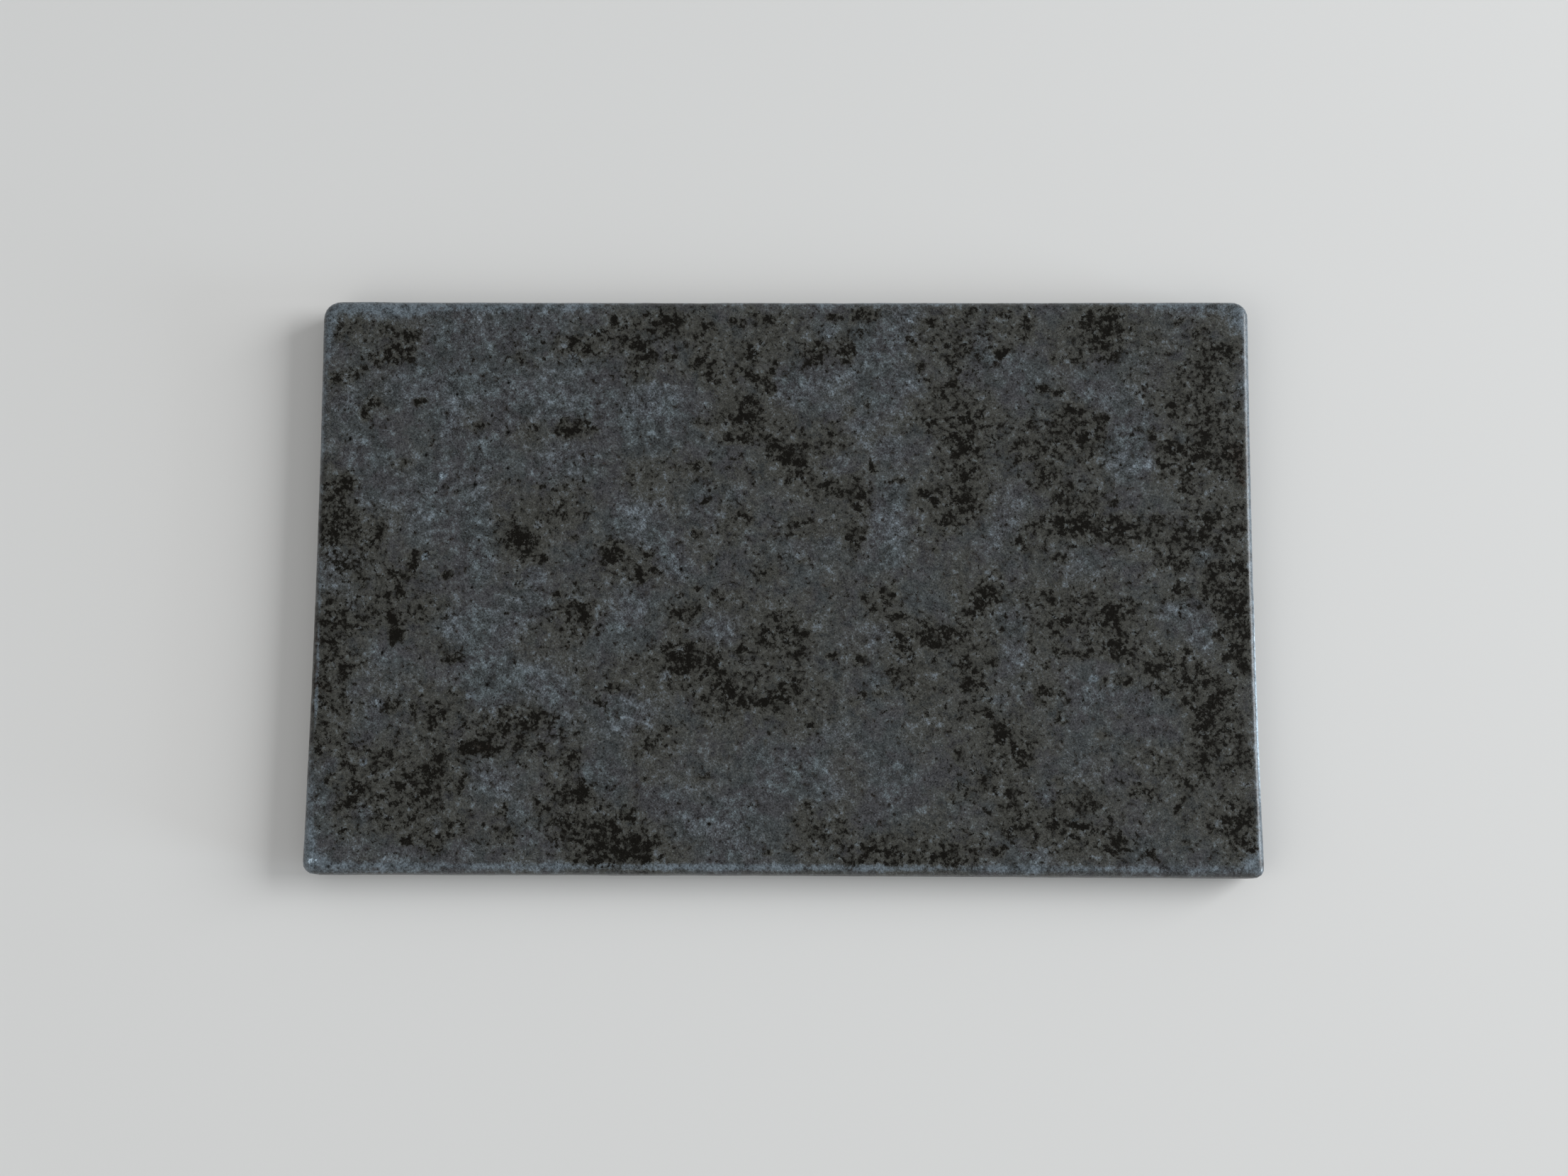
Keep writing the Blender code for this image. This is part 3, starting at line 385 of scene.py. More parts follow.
# Pinholes: x, y and radius.
PINHOLES_MM = (
    (-139.4, 46.4, 0.45), (-88.6, 48.6, 0.45), (-88.8, 65, 0.4), (-105.4, 61, 0.35), (-88.5, 36.8, 0.35),
    (-98.9, 31.5, 0.55), (-109, 30.7, 0.35), (-104.3, 29.3, 0.3), (-93.6, 20.2, 0.3), (-114.8, 41.1, 0.35),
    (-91.8, 53.1, 0.35), (-94, 54, 0.3), (-122.2, 16.7, 0.3), (-131.8, 11.1, 0.3), (39.2, 87.5, 0.5),
    (17.2, 52.3, 0.4), (-32.5, 4.2, 0.5), (-21, 15.9, 0.35), (-21.3, 5.8, 0.35), (-126.8, -22.9, 0.4),
    (-93.3, -32.9, 0.55), (-126.9, -38.4, 0.4), (-136, -38.7, 0.35), (-100, -45.1, 0.4), (-98.9, -1.9, 0.3),
    (-109.3, -14.9, 0.3), (-114.8, -24.7, 0.3), (-55, -65.1, 0.45), (-123.7, -86.7, 0.4),
    (-57.9, -13.9, 0.35), (34, -19, 0.35), (64, -34, 0.4), (-140.9, -90, 0.6),
)

# Craters with a raised, pale lip: x, y and the radius of the lip.
CRATERS_MM = (
    (-68.3, 73, 1.1), (-114, 8, 0.8), (29.3, 74, 0.9), (-98.4, -36, 0.8), (-131.5, -57.5, 0.9),
    (97.5, -30.5, 0.9), (-109.5, 34, 1.0),
)


def smooth_step(value):
    """0 below 0, 1 above 1 and an S-shaped rise between."""
    t = np.clip(value, 0.0, 1.0)
    return t * t * (3 - 2 * t)


def cell_noise(x, y, cell, seed):
    """Noise from 0 to 1: random values at the corners of square cells, blended across each cell by the
    S-shaped rise. The values repeat after a period of so many cells."""
    period = 128
    values = np.random.default_rng(seed).random((period, period))
    u, v = x / cell, y / cell
    i, j = np.floor(u).astype(int), np.floor(v).astype(int)
    s, t = smooth_step(u - i), smooth_step(v - j)
    i0, i1, j0, j1 = i % period, (i + 1) % period, j % period, (j + 1) % period
    near = values[i0, j0] * (1 - s) + values[i1, j0] * s
    far = values[i0, j1] * (1 - s) + values[i1, j1] * s
    return near * (1 - t) + far * t


def patch_density(x, y, patches, strength=1.0):
    """How dense the patches are at each point: an ellipse's density fades out from its middle as a bell,
    and where ellipses overlap what each leaves clear is multiplied together."""
    bell_rate, bell_power, most = 0.75, 1.3, 0.98
    clear = np.ones_like(x)
    for patch_x, patch_y, half_x, half_y, density in patches:
        reach = ((x / MM - patch_x) / half_x) ** 2 + ((y / MM - patch_y) / half_y) ** 2
        clear *= 1 - np.minimum(strength * density * np.exp(-bell_rate * reach**bell_power), most)
    return 1 - clear


def coverage(x, y, patches, patch_strength, stretches, stretch_strength):
    """How dense the patches and the broad stretches round them are together, combined in the same way."""
    clear_of_patches = 1 - patch_density(x, y, patches, patch_strength)
    clear_of_stretches = 1 - patch_density(x, y, stretches, stretch_strength)
    return 1 - clear_of_patches * clear_of_stretches


def radii_away(x, y, spot):
    """How far each point is from the middle of a round spot, in the spot's own radii."""
    spot_x, spot_y, radius = spot
    return np.hypot(x / MM - spot_x, y / MM - spot_y) / radius


def pinched(x, y, spots, reach, pull):
    """The points drawn in towards each spot, so that the grid is fine enough there for a small hollow.
    At a distance of s times the reach, a point's distance shrinks by pull times (1 - s squared) squared."""
    for spot_x, spot_y, _ in spots:
        along_x, along_y = x - spot_x * MM, y - spot_y * MM
        s = np.minimum(np.hypot(along_x, along_y) / reach, 1.0)
        shrink = 1 - pull * (1 - s * s) ** 2
        x, y = spot_x * MM + along_x * shrink, spot_y * MM + along_y * shrink
    return x, y


# Sizes and colours


def distance(name, description, default):
    """A length, in metres."""
    return FloatProperty(
        name=name, description=description, default=default, subtype="DISTANCE", unit="LENGTH"
    )


def tint(name, description, default):
    """A colour, as linear red, green and blue."""
    return FloatVectorProperty(name=name, description=description, default=default, subtype="COLOR")


def watts(name, default):
    """A lamp's power."""
    return FloatProperty(name=name, description="Power", default=default, subtype="POWER", unit="POWER")


class StoneSize(PropertyGroup):
    """The stone's shape."""

    length: distance("Length", "Along X", SLAB_HIGH.x - SLAB_LOW.x)
    width: distance("Width", "Along Y", SLAB_HIGH.y - SLAB_LOW.y)
    base: distance("Base", "Height of the underside", SLAB_LOW.z)
    top: distance("Top", "Height of the face", SLAB_HIGH.z)
    top_radius: distance("Top edge", "Radius of the top edge", 0.0025)
    bottom_radius: distance("Bottom edge", "Radius of the bottom edge", 0.0012)
    end_hollow: distance("End hollow", "How far the short sides bow in", 0.0008)
    side_hollow: distance("Side hollow", "How far the long sides bow in", 0.0003)
    front_left: distance("Front left", "Corner radius", 0.0039)
    front_right: distance("Front right", "Corner radius", 0.0031)
    back_right: distance("Back right", "Corner radius", 0.0053)
    back_left: distance("Back left", "Corner radius", 0.0059)
    waver: distance("Waver", "How far the hand-eased edge wanders in", 0.0002)
    cell: distance("Grid cell", "Spacing of the grid on the face", 0.0009)


class StoneColour(PropertyGroup):
    """The colours of the stone's ground, clouds, grains and rim."""

    warm: tint("Warm grey", "Ground where iron is near", (0.0535, 0.0538, 0.0478))
    cool: tint("Cool grey", "Ground elsewhere", (0.0517, 0.0576, 0.0594))
    slate: tint("Slate", "Faint violet in the ground", (0.0555, 0.0562, 0.0600))
    frost: tint("Frost", "Pale clouds", (0.076, 0.0915, 0.0972))
    lilac: tint("Lilac", "Pale clouds of the other tint", (0.0805, 0.0905, 0.0995))
    bruise: tint("Bruise", "Palest grains", (0.130, 0.155, 0.175))
    # Pale blue of the worn rim; along the right edge and at the front left corner it is also a painted
    # highlight.
    rim: tint("Rim", "Worn rim", (0.105, 0.127, 0.145))
    # Painted highlight: this blue-white, laid where the rim is densest, paints bright highlight lines along
    # the front half of the right edge and at the front left corner, and also whitens the small chip by the
    # crater at x -109.5 mm.
    chalk_and_highlight: tint("Chalk", "The most worn rim", (0.34, 0.42, 0.48))
    iron: tint("Iron", "Near-black grains", (0.0040, 0.0034, 0.0022))
    umber: tint("Umber", "Dark brown round the grains", (0.025, 0.0238, 0.0195))
    rust: tint("Rust", "Reddish stains", (0.030, 0.0165, 0.0115))
    sawn: tint("Sawn", "The rough underside", (0.115, 0.118, 0.12))


class FootLook(PropertyGroup):
    """The feet and the discs that hold them."""

    rubber: tint("Rubber", "Colour of the feet", (0.018, 0.018, 0.019))
    foam: tint("Foam", "Colour of the adhesive discs", (0.16, 0.16, 0.16))
    segments: IntProperty(name="Segments", description="Facets round a foot", default=96, min=12)


class StageLook(PropertyGroup):
    """The floor and the lights."""

    floor: tint("Floor", "Colour of the floor", (0.70, 0.70, 0.69))
    key: watts("Key light", 59.0)
    window: FloatProperty(
        name="Window light", description="Watts per square metre, from low down", default=1.8
    )
    fill: watts("Fill light", 4.0)
    sky: FloatProperty(name="Surround", description="Strength of the even light all round", default=0.38)


class SlabSettings(PropertyGroup):
    """Everything that a user can change."""

    stone: PointerProperty(type=StoneSize)
    colour: PointerProperty(type=StoneColour)
    foot: PointerProperty(type=FootLook)
    stage: PointerProperty(type=StageLook)


# Shader building

NOISE_SPREAD = 0.1246  # standard deviation of Blender's noise at no detail
CELL_MIDDLE, CELL_SPREAD = 0.52, 0.18  # mean and standard deviation of the distance in a Voronoi cell


class Wire:
    """A socket that an expression can use: each operator adds the Math node that works it out."""

    def __init__(self, board, socket):
        self.board = board
        self.socket = socket

    def math(self, operation, first, second):
        return self.board.add("ShaderNodeMath", {"operation": operation}, {0: first, 1: second})

    def __add__(self, other):
        return self.math("ADD", self, other)

    __radd__ = __add__

    def __sub__(self, other):
        return self.math("SUBTRACT", self, other)

    def __rsub__(self, other):
        return self.math("SUBTRACT", other, self)

    def __mul__(self, other):
        return self.math("MULTIPLY", self, other)

    __rmul__ = __mul__


class Board:
    """One material's nodes."""

    def __init__(self, name):
        self.material = bpy.data.materials.new(name)
        self.material.use_nodes = True
        self.nodes = self.material.node_tree.nodes
        self.links = self.material.node_tree.links
        self.nodes.clear()

    def add(self, kind, settings, inputs, output=0):
        """Adds a node of this type, sets its settings and then its sockets, and returns one output."""
        node = self.nodes.new(kind)
        for name, value in settings.items():
            setattr(node, name, value)
        for key, value in inputs.items():
            if isinstance(value, Wire):
                self.links.new(value.socket, node.inputs[key])
            else:
                node.inputs[key].default_value = value
        return Wire(self, node.outputs[output]) if node.outputs else node

    def millimetres(self):
        """The surface's own coordinates, in millimetres."""
        place = self.add("ShaderNodeTexCoord", {}, {}, "Object")
        return self.add("ShaderNodeVectorMath", {"operation": "SCALE"}, {0: place, "Scale": 1 / MM})

    def askew(self, place):
        """These coordinates turned askew, so that no layer of a noise lies flat along a face."""
        return self.add("ShaderNodeMapping", {}, {"Vector": place, "Rotation": (0.61, 0.43, 0.94)})

    def attribute(self, name):
        return self.add("ShaderNodeAttribute", {"attribute_name": name}, {}, "Fac")

    def noise(self, place, grain, detail, roughness=0.5):
        """Noise about 0 whose lumps are about this many millimetres across. Its standard deviation is 1."""
        weights = [roughness**octave for octave in range(detail + 1)]
        spread = NOISE_SPREAD * math.hypot(*weights) / sum(weights)
        inputs = {"Vector": place, "Scale": 1 / grain, "Detail": detail, "Roughness": roughness}
        return (self.add("ShaderNodeTexNoise", {}, inputs) - 0.5) * (1 / spread)

    def cells(self, place, size):
        """How far each point is from the middle of its rounded cell, about 0 and with a deviation of 1."""
        inputs = {"Vector": place, "Scale": 1 / size}
        away = self.add("ShaderNodeTexVoronoi", {"feature": "F1"}, inputs)
        return (away - CELL_MIDDLE) * (1 / CELL_SPREAD)

    def rise(self, value, low, high):
        """0 where the value is below low, 1 where it is above high, and an S-shaped rise between."""
        return self.add(
            "ShaderNodeMapRange",
            {"interpolation_type": "SMOOTHSTEP"},
            {"Value": value, "From Min": low, "From Max": high},
        )

    def blend(self, share, first, second, kind="MIX"):
        """The first colour where the share is 0 and the second where it is 1."""
        settings = {"data_type": "RGBA", "blend_type": kind}
        return self.add("ShaderNodeMix", settings, {0: share, 6: first, 7: second}, 2)

    def bump(self, height, depth, strength):
        """A normal tilted by this height, where 1 stands for this depth in metres."""
        return self.add("ShaderNodeBump", {}, {"Height": height, "Distance": depth, "Strength": strength})

    def finish(self, inputs):
        """Ends the material in a Principled surface with these inputs, and returns the material."""
        surface = self.add("ShaderNodeBsdfPrincipled", {}, inputs)
        self.add("ShaderNodeOutputMaterial", {}, {"Surface": surface})
        return self.material


def opaque(colour, tone=1.0):
    """The colour, made darker or paler by a factor, with an alpha of 1."""
    return (*(tone * channel for channel in colour), 1.0)


def stone_material(colour):
    """The stone: grey ground, pale frost in clouds, and near-black iron in clustered grains."""
    board = Board("mottled_stone")
    along = board.millimetres()
    place = board.askew(along)
    iron = board.attribute("iron")
    frost = board.attribute("frost")
    rim = board.attribute("rim")
    rust = board.attribute("rust")
    sawn = board.attribute("sawn")

    # noise of several grain sizes, broad to fine in millimetres
    drift = board.noise(place, 16, 2, 0.6)
    mottle = board.noise(place, 3.4, 5, 0.82)
    clot = board.noise(place, 2.2, 4, 0.72)
    cells = board.cells(place, 1.2)
    grain = board.noise(place, 0.55, 2, 0.8)
    fine = board.noise(place, 0.42, 1, 0.7)

    # the ground: warm grey near iron, and cool grey or slate elsewhere
    warmth = board.rise(iron * 2.2 - frost * 1.6 + drift * 0.35 + mottle * 0.25, -0.7, 0.9)
    violet = board.rise(board.noise(place, 9, 2, 0.6), -1.2, 1.2)
    cold = board.blend(violet, opaque(colour.cool), opaque(colour.slate))
    ground = board.blend(warmth, cold, opaque(colour.warm))
    shade = 1 + grain * 0.21 + mottle * 0.17 + drift * 0.02
    shade_colour = board.add("ShaderNodeCombineColor", {}, {0: shade, 1: shade, 2: shade})

    # pale clouds, their palest flecks, and the worn rim, which is partly a painted highlight along the right
    # edge and at the front left corner
    haze = frost * 2.4 + mottle * 0.72 + drift * 0.25 + grain * 0.35 - iron * 0.8
    frost_tint = board.blend(board.rise(drift, -0.8, 0.8), opaque(colour.frost), opaque(colour.lilac))
    frosted = board.blend(board.rise(haze, 0.45, 3.25), ground, frost_tint)
    bruised = board.blend(board.rise(haze, 2.5, 4.7), frosted, opaque(colour.bruise))
    fleck = board.rise(board.noise(place, 0.7, 1, 0.7) + frost * 0.7 - iron * 0.5, 1.9, 3.0)
    bruised = board.blend(fleck * 0.6, bruised, opaque(colour.bruise))
    rimmed = board.blend(board.rise(rim * 3.0 + mottle * 0.4, 0.3, 2.5), bruised, opaque(colour.rim))
    # painted highlight: where the rim is densest it turns blue-white, along the front half of the right edge
    # and at the front left corner; it also whitens the small chip by the crater at x -109.5 mm
    rimmed = board.blend(board.rise(rim + mottle * 0.006, 0.92, 0.97), rimmed, opaque(colour.chalk_and_highlight))
    shaded = board.blend(1.0, rimmed, shade_colour, "MULTIPLY")

    # reddish stains, then clots of iron grains inside a brown fringe, and stray dots
    stained = board.blend(board.rise(rust * 2.0 + clot * 0.7, 0.8, 2.4) * 0.7, shaded, opaque(colour.rust))
    clotted = iron * 3.7 + clot * 0.82 + cells * 0.48 + grain * 0.3 - rim * 2.5
    umber = board.blend(board.rise(rust, 0.2, 0.9) * 0.5, opaque(colour.umber), opaque(colour.rust))
    browned = board.blend(board.rise(clotted, 1.45, 2.4) * 0.75, stained, umber)
    dark = board.rise(clotted, 2.15, 2.75)
    speck = board.rise(fine + grain * 0.5 - clotted * 0.25, 0.1, 1.5)
    core = board.blend(speck * 0.5, opaque(colour.iron), umber)
    ironed = board.blend(dark, browned, core)
    dot = board.rise(board.noise(place, 0.6, 1, 0.6) + iron * 0.6, 2.0, 2.7)
    dotted = board.blend(dot * 0.6, ironed, opaque(colour.iron))
    # painted shade: each pinhole is painted near-black over its hollow
    pinhole_shaded = board.blend(board.attribute("pinhole_shade"), dotted, opaque(colour.iron))

    # the rough underside, with saw lines along X
    saw_place = board.add("ShaderNodeMapping", {}, {"Vector": along, "Scale": (0.05, 1.0, 1.0)})
    saw_lines = board.noise(saw_place, 0.9, 2, 0.6)
    saw_tone = board.rise(saw_lines, -2.0, 2.0)
    rough_face = board.blend(saw_tone, opaque(colour.sawn, 0.8), opaque(colour.sawn, 1.2))
    face_colour = board.blend(sawn, pinhole_shaded, rough_face)

    crust = board.rise(haze, 0.5, 4.0)
    height = grain * 0.10 + mottle * 0.12 + crust * 0.5 - dark * 0.5 + saw_lines * sawn * 0.3
    return board.finish(
        {
            "Base Color": face_colour,
            "Roughness": 0.62 + dark * 0.1 + sawn * 0.2 + mottle * 0.03,
            "Specular IOR Level": 0.08,
            "Coat Weight": board.attribute("polish") * 0.8,
            "Coat Roughness": 0.27,
            "Normal": board.bump(height, 0.00012, 0.7),
        }
    )


def rubber_material(colour):
    """Moulded rubber: near-black, with the fine orange-peel of a blasted mould and a little dust."""
    board = Board("moulded_rubber")
    place = board.millimetres()
    peel = board.noise(place, 0.25, 2)
    dust = board.rise(board.noise(place, 1.6, 5, 0.7), 0.2, 2.6)
    dusty = board.blend(dust * 0.35, opaque(colour), opaque(colour, 6))
    return board.finish(
        {
            "Base Color": dusty,
            "Roughness": 0.62 + dust * 0.2,
            "Normal": board.bump(peel, 0.000006, 0.8),
        }
    )


def foam_material(colour):
    """Closed-cell foam tape: matt grey, pricked with tiny cells."""
    board = Board("foam_tape")
    place = board.millimetres()
    cells = board.add("ShaderNodeTexVoronoi", {"feature": "F1"}, {"Vector": place, "Scale": 5.0})
    hollows = board.rise(cells, 0.15, 0.55)
    # painted shade: the sunken middle of each cell is darkened to 0.6 of the foam's colour
    tone = board.blend(hollows, opaque(colour, 0.6), opaque(colour))
    return board.finish(
        {
            "Base Color": tone,
            "Roughness": 0.9 - hollows * 0.08,
            "Normal": board.bump(hollows, 0.00006, 0.9),
        }
    )


def floor_material(colour):
    """Plain pale card, very slightly uneven."""
    board = Board("pale_floor")
    place = board.add("ShaderNodeTexCoord", {}, {}, "Object")
    cloud = board.add("ShaderNodeTexNoise", {}, {"Vector": place, "Scale": 3.0, "Detail": 2.0})
    tone = board.blend(cloud, opaque(colour, 0.985), opaque(colour))
    return board.finish({"Base Color": tone, "Roughness": 0.9, "Specular IOR Level": 0.1})


# Surfaces


def show_mesh(name, points, faces, material, smooth=True):
    """Links a mesh object made of these points and faces, with its place in its mesh."""
    mesh = bpy.data.meshes.new(name)
    mesh.from_pydata(points, [], faces)
    mesh.polygons.foreach_set("use_smooth", np.full(len(mesh.polygons), smooth))
    mesh.materials.append(material)
    mesh.update()
    piece = bpy.data.objects.new(name, mesh)
    bpy.context.scene.collection.objects.link(piece)
    return piece


def outline_distance(x, y, size):
    """How far each point lies outside the plan's outline, and below 0 inside it.

    The plan is a rectangle whose corners each have their own radius. It is measured after the bow of its
    sides is taken out, and a slow waver, which only draws the outline in, is added."""
    end_share = 1 - (2 * y / size.width) ** 2
    side_share = 1 - (2 * x / size.length) ** 2
    straight_x = x / (1 - 2 * size.end_hollow / size.length * end_share)
    straight_y = y / (1 - 2 * size.side_hollow / size.width * side_share)
    front = np.where(x < 0, size.front_left, size.front_right)
    back = np.where(x < 0, size.back_left, size.back_right)
    radius = np.where(y < 0, front, back)
    over_x = np.abs(straight_x) - size.length / 2 + radius
    over_y = np.abs(straight_y) - size.width / 2 + radius
    rounded = np.hypot(np.maximum(over_x, 0), np.maximum(over_y, 0))
    long_cell, short_cell = 0.009, 0.0028
    waver = 0.65 * cell_noise(x, y, long_cell, 3) + 0.35 * cell_noise(x, y, short_cell, 4)
    return rounded + np.minimum(np.maximum(over_x, over_y), 0) - radius + waver * size.waver


def section(size):
    """The slab's section from its face down to its underside, as distances in from the outline and drops
    from the face: level, a quarter circle over the top edge, down the side, a quarter circle under it."""
    level = np.array([0.0045, 0.0038, 0.0031])
    quarter = math.pi / 2
    over_steps, side_steps, under_steps = 10, 5, 5
    turn = np.linspace(0, quarter, over_steps + 1)
    over_in = size.top_radius * (1 - np.sin(turn))
    over_drop = size.top_radius * (1 - np.cos(turn))
    thickness = size.top - size.base
    side_drop = np.linspace(size.top_radius, thickness - size.bottom_radius, side_steps + 1)[1:]
    under_turn = np.linspace(0, quarter, under_steps + 1)[1:]
    under_in = size.bottom_radius * (1 - np.cos(under_turn))
    under_drop = thickness - size.bottom_radius * (1 - np.sin(under_turn))
    inset = np.concatenate([level, over_in, np.zeros_like(side_drop), under_in])
    drop = np.concatenate([np.zeros_like(level), over_drop, side_drop, under_drop])
    return inset, drop


def face_relief(x, y):
    """How far the face lies below its highest level: slow swells, a fine unevenness, a hollow at each
    pinhole, and at each crater a dish inside a lip that stands proud of its surroundings."""
    pinhole_depth, dish_depth, lip_height = 0.0006, 0.00022, 0.00008
    swell = 0.00005 * cell_noise(x, y, 0.030, 11) + 0.00003 * cell_noise(x, y, 0.007, 12)
    uneven = 0.00003 * cell_noise(x, y, 0.002, 13)
    relief = lip_height + swell + uneven
    for pinhole in PINHOLES_MM:
        relief += pinhole_depth * (1 - smooth_step((radii_away(x, y, pinhole) - 0.45) / 0.7))
    for crater in CRATERS_MM:
        away = radii_away(x, y, crater)
        relief += dish_depth * (1 - smooth_step((away - 0.25) / 0.6))
        relief -= lip_height * np.exp(-(((away - 1) / 0.3) ** 2))
    return relief


def outward_runs(edge_x, edge_y, inner_x, inner_y):
    """The way in plan, as a unit vector, from each point of the face grid's edge out to the rim: square to
    the side it lies on, and turning towards the corner's own diagonal within reach of a corner."""
    fan_reach = 0.008
    same_place = 1e-9
    to_end = np.clip((np.abs(edge_x) - inner_x) / fan_reach + 1, 0, 1) ** 2
    to_side = np.clip((np.abs(edge_y) - inner_y) / fan_reach + 1, 0, 1) ** 2
    on_end = np.abs(np.abs(edge_x) - inner_x) < same_place
    on_side = np.abs(np.abs(edge_y) - inner_y) < same_place
    run_x = np.where(on_side & ~on_end, np.sign(edge_x) * to_end, np.sign(edge_x))
    run_y = np.where(on_end & ~on_side, np.sign(edge_y) * to_side, np.sign(edge_y))
    run = np.hypot(run_x, run_y)
    return run_x / run, run_y / run


def stone_layers(x, y, depth, size):
    """How much of each colour lies at each point, 0 for none and 1 or a little more for solid. Iron, frost
    and rust are looked up at points that noise has moved aside, so that no ellipse shows its outline."""
    stray, stray_cell = 0.0012, 0.0035
    rim_fade, polish_start, polish_fade = 0.002, 0.0004, 0.003
    warp_x = x + stray * (cell_noise(x, y, stray_cell, 21) - 0.5) * 2
    warp_y = y + stray * (cell_noise(x, y, stray_cell, 22) - 0.5) * 2
    # Painted shade: a near-black spot filling each pinhole's hollow and a little beyond it.
    pinhole_shade = np.zeros_like(x)
    for pinhole in PINHOLES_MM:
        pinhole_shade = np.maximum(pinhole_shade, 1 - smooth_step((radii_away(x, y, pinhole) - 0.95) / 0.4))
    lip = np.zeros_like(x)
    for crater in CRATERS_MM:
        lip = np.maximum(lip, 1.3 * np.exp(-(((radii_away(x, y, crater) - 0.9) / 0.35) ** 2)))
    iron = coverage(warp_x, warp_y, IRON_PATCHES_MM, 0.85, IRON_STRETCHES_MM, 0.75)
    frost = coverage(warp_x, warp_y, FROST_PATCHES_MM, 0.9, FROST_STRETCHES_MM, 0.7)
    rim = np.maximum(patch_density(x, y, RIM_WEAR_AND_HIGHLIGHT_MM), 0.6 * lip)
    past_edge = depth - size.top_radius
    below_base = depth - (size.top - size.base)
    return {
        "iron": iron * (1 - lip),
        "frost": np.maximum(frost, lip),
        "rim": rim * (1 - smooth_step(past_edge / rim_fade)),
        "rust": patch_density(warp_x, warp_y, RUST_PATCHES_MM),
        "polish": smooth_step(depth / polish_start) * (1 - smooth_step(past_edge / polish_fade)),
        "pinhole_shade": pinhole_shade,
        "sawn": smooth_step((below_base + 0.6 * size.bottom_radius) / (0.4 * size.bottom_radius)),
    }


def build_stone(size, material):
    """The stone as one closed surface.

    The face is a rectangular grid. From each point of the grid's edge a ray runs out to the rim, and each
    station of the section is found along it, by stepping on by what is still missing of the station's
    distance in from the outline. The last ring of stations bounds the flat underside."""
    rim_width = 0.006
    trace_rounds = 40
    pinch_reach, pinch_pull = 0.0055, 0.9
    inner_x, inner_y = size.length / 2 - rim_width, size.width / 2 - rim_width
    columns = int(round(2 * inner_x / size.cell))
    rows = int(round(2 * inner_y / size.cell))
    grid_x, grid_y = np.meshgrid(
        np.linspace(-inner_x, inner_x, columns + 1), np.linspace(-inner_y, inner_y, rows + 1)
    )
    index = np.arange(grid_x.size).reshape(grid_x.shape)
    loop = np.concatenate([index[0, :-1], index[:-1, -1], index[-1, :0:-1], index[:0:-1, 0]])
    edge_x, edge_y = grid_x.ravel()[loop], grid_y.ravel()[loop]
    run_x, run_y = outward_runs(edge_x, edge_y, inner_x, inner_y)

    inset, drop = section(size)
    travel = np.zeros((len(inset), len(loop)))
    for _ in range(trace_rounds):
        x, y = edge_x + travel * run_x, edge_y + travel * run_y
        travel += -inset[:, None] - outline_distance(x, y, size)
    rim_x, rim_y = edge_x + travel * run_x, edge_y + travel * run_y

    spots = PINHOLES_MM + CRATERS_MM
    x, y = pinched(grid_x.ravel(), grid_y.ravel(), spots, pinch_reach, pinch_pull)
    x[loop], y[loop] = edge_x, edge_y
    depth = np.concatenate([np.zeros(grid_x.size), np.repeat(drop, len(loop))])
    x, y = np.concatenate([x, rim_x.ravel()]), np.concatenate([y, rim_y.ravel()])
    fade = 1 - smooth_step(depth / size.top_radius)
    z = size.top - depth - fade * face_relief(x, y)

    quads = np.stack([index[:-1, :-1], index[:-1, 1:], index[1:, 1:], index[1:, :-1]], axis=-1).reshape(-1, 4)
    rings = np.vstack([loop, grid_x.size + np.arange(travel.size).reshape(travel.shape)])
    ahead = np.roll(rings, -1, axis=1)
    bands = np.stack([rings[:-1], rings[1:], ahead[1:], ahead[:-1]], axis=-1).reshape(-1, 4)
    faces = np.concatenate([quads, bands]).tolist() + [rings[-1, ::-1].tolist()]
    piece = show_mesh("stone_slab", np.stack([x, y, z], axis=-1), faces, material)
    for name, values in stone_layers(x, y, depth, size).items():
        layer = piece.data.attributes.new(name, "FLOAT", "POINT")
        layer.data.foreach_set("value", values.astype(np.float32))
    return piece


def turned_surface(name, profile, centre, segments, material):
    """A closed surface of revolution: the profile's (radius, height) points carried round a vertical axis.
    Its first and last points, on the axis, are the two poles."""
    angle = np.linspace(0, 2 * math.pi, segments, endpoint=False)
    radius, height = np.array(profile[1:-1]).T
    x = centre.x + radius[:, None] * np.cos(angle)
    y = centre.y + radius[:, None] * np.sin(angle)
    z = np.repeat(height[:, None], segments, axis=1)
    ring_points = np.stack([x, y, z], axis=-1).reshape(-1, 3)
    poles = np.array([[centre.x, centre.y, profile[0][1]], [centre.x, centre.y, profile[-1][1]]])
    rings = np.arange(len(ring_points)).reshape(x.shape)
    ahead = np.roll(rings, -1, axis=1)
    top, bottom = len(ring_points), len(ring_points) + 1
    bands = np.stack([rings[:-1], rings[1:], ahead[1:], ahead[:-1]], axis=-1).reshape(-1, 4)
    top_cap = np.stack([rings[0], ahead[0], np.full(segments, top)], axis=-1)
    bottom_cap = np.stack([ahead[-1], rings[-1], np.full(segments, bottom)], axis=-1)
    faces = bands.tolist() + top_cap.tolist() + bottom_cap.tolist()
    return show_mesh(name, np.concatenate([ring_points, poles]), faces, material)


def arc(centre_radius, centre_height, radius, start, end, steps):
    """Points of a section along an arc, from one angle to another in degrees above the outward level."""
    angle = np.radians(np.linspace(start, end, steps))
    return list(zip(centre_radius + radius * np.cos(angle), centre_height + radius * np.sin(angle)))


def add_light(name, kind, place, power, colour, settings):
    """A lamp of this kind at a place, facing the middle of the slab."""
    lamp = bpy.data.lights.new(name, kind)
    lamp.energy = power
    lamp.color = colour
    for setting, value in settings.items():
        setattr(lamp, setting, value)
    light = bpy.data.objects.new(name, lamp)
    light.location = place
    light.rotation_euler = (-Vector(place)).to_track_quat("-Z", "Y").to_euler()
    bpy.context.scene.collection.objects.link(light)


# Operators


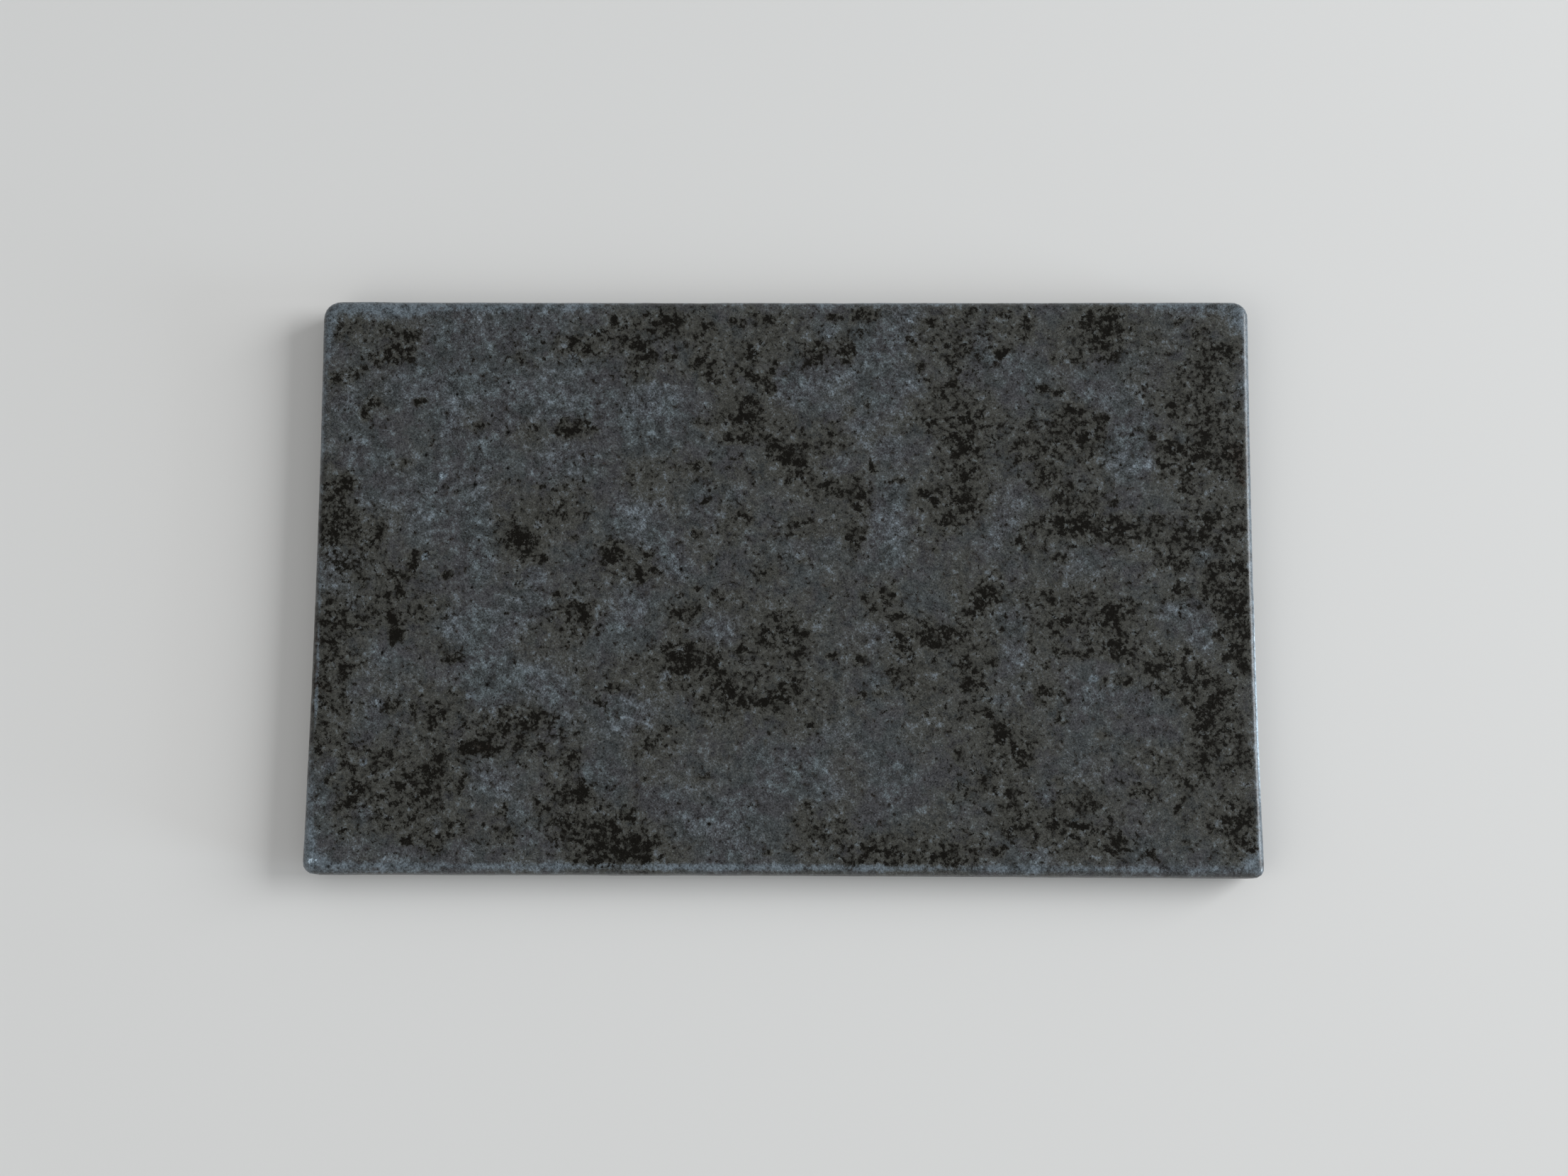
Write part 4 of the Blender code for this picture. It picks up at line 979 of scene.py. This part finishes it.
class SLAB_OT_stage(Operator):
    """Makes the floor, the lights and the camera"""

    bl_idname = "granite_slab.stage"
    bl_label = "Make the stage"

    def execute(self, context):
        look = context.scene.granite_slab.stage
        reach = 6.0  # half the floor's width
        corners = [(-reach, -reach, 0), (reach, -reach, 0), (reach, reach, 0), (-reach, reach, 0)]
        floor = show_mesh("floor", corners, [(0, 1, 2, 3)], floor_material(look.floor), smooth=False)

        add_light("key", "AREA", (2.17, 0.50, 1.19), look.key, (0.97, 0.985, 1.0), {"size": 1.4})
        add_light("fill", "AREA", (-0.9, -0.5, 1.0), look.fill, (1.0, 0.98, 0.95), {"size": 1.2})
        softness = {"angle": math.radians(17)}
        add_light("window", "SUN", (1.25, -0.30, 0.14), look.window, (0.80, 0.91, 1.0), softness)
        world = bpy.data.worlds.new("surround")
        context.scene.world = world
        world.use_nodes = True
        background = world.node_tree.nodes["Background"]
        background.inputs["Color"].default_value = (0.98, 0.99, 1.0, 1.0)
        background.inputs["Strength"].default_value = look.sky

        lens = bpy.data.cameras.new("camera")
        lens.lens = 50.0
        lens.sensor_width = 36.0
        camera = bpy.data.objects.new("camera", lens)
        camera.location = (0.0099, -0.1100, 0.6943)
        camera.rotation_euler = [math.radians(angle) for angle in (9.018, 0.767, 0.260)]
        context.scene.collection.objects.link(camera)
        context.scene.camera = camera
        context.scene.view_settings.view_transform = "Standard"
        return {"FINISHED"}


class SLAB_OT_stone(Operator):
    """Makes the stone"""

    bl_idname = "granite_slab.stone"
    bl_label = "Make the stone"

    def execute(self, context):
        settings = context.scene.granite_slab
        stone = build_stone(settings.stone, stone_material(settings.colour))
        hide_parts("slab")
        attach(stone, "root")
        return {"FINISHED"}


class SLAB_OT_feet(Operator):
    """Makes the four rubber feet"""

    bl_idname = "granite_slab.feet"
    bl_label = "Make the feet"

    def execute(self, context):
        look = context.scene.granite_slab.foot
        material = rubber_material(look.rubber)
        for corner in CORNERS:
            node = "foot_" + corner
            low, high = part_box(node)
            radius = (high.x - low.x) / 2
            tall = high.z
            # radii of the edges below and above, how far the side slopes in, and the dish underneath
            toe, shoulder, draft, hollow = 0.0006, 0.00025, 0.0004, 0.00012
            profile = [(0.0, tall), (radius * 0.5, tall), (radius - shoulder, tall)]
            profile += arc(radius - shoulder, tall - shoulder, shoulder, 90, 0, 5)[1:]
            profile += arc(radius - draft - toe, toe, toe, 0, -90, 7)
            profile += [(radius * 0.62, 0.0), (radius * 0.56, hollow), (radius * 0.3, hollow), (0.0, hollow)]
            foot = turned_surface("rubber_" + node, profile, (low + high) / 2, look.segments, material)
            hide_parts(node)
            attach(foot, "root")
        return {"FINISHED"}


class SLAB_OT_adhesive(Operator):
    """Makes the foam adhesive disc above each foot"""

    bl_idname = "granite_slab.adhesive"
    bl_label = "Make the adhesive discs"

    def execute(self, context):
        look = context.scene.granite_slab.foot
        material = foam_material(look.foam)
        for corner in CORNERS:
            node = "adhesive_disc_" + corner
            low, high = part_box(node)
            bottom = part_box("foot_" + corner)[1].z
            top = SLAB_LOW.z
            middle, half = (bottom + top) / 2, (top - bottom) / 2
            radius = (high.x - low.x) / 2
            bulge, edge_turn, edge_points = 0.00018, 1.5, 9
            flat = radius - 0.0008
            edge = [
                (radius - bulge + bulge * math.cos(angle), middle + half * math.sin(angle))
                for angle in np.linspace(edge_turn, -edge_turn, edge_points)
            ]
            profile = [(0.0, top), (flat, top)] + edge + [(flat, bottom), (0.0, bottom)]
            disc = turned_surface("foam_" + node, profile, (low + high) / 2, look.segments, material)
            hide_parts(node)
            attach(disc, "root")
        return {"FINISHED"}


class SLAB_PT_panel(Panel):
    """Lists the sizes, the colours and the steps"""

    bl_idname = "SLAB_PT_panel"
    bl_label = "Granite Slab"
    bl_space_type = "VIEW_3D"
    bl_region_type = "UI"
    bl_category = "Granite Slab"

    def draw(self, context):
        settings = context.scene.granite_slab
        for group in (settings.stone, settings.colour, settings.foot, settings.stage):
            box = self.layout.box()
            for name in group.bl_rna.properties.keys():
                if name not in ("rna_type", "name"):
                    box.prop(group, name)
        for step in STEPS:
            self.layout.operator(step.bl_idname)


STEPS = (SLAB_OT_stage, SLAB_OT_stone, SLAB_OT_feet, SLAB_OT_adhesive)
CLASSES = (StoneSize, StoneColour, FootLook, StageLook, SlabSettings) + STEPS + (SLAB_PT_panel,)


def register():
    for cls in CLASSES:
        bpy.utils.register_class(cls)
    bpy.types.Scene.granite_slab = PointerProperty(type=SlabSettings)


def unregister():
    del bpy.types.Scene.granite_slab
    for cls in reversed(CLASSES):
        bpy.utils.unregister_class(cls)


def main():
    """Clears other cameras and lamps away and makes everything in order."""
    for obj in list(bpy.data.objects):
        if obj.type in {"CAMERA", "LIGHT"}:
            bpy.data.objects.remove(obj, do_unlink=True)
    register()
    bpy.ops.granite_slab.stage()
    bpy.ops.granite_slab.stone()
    bpy.ops.granite_slab.feet()
    bpy.ops.granite_slab.adhesive()


if __name__ == "__main__":
    main()
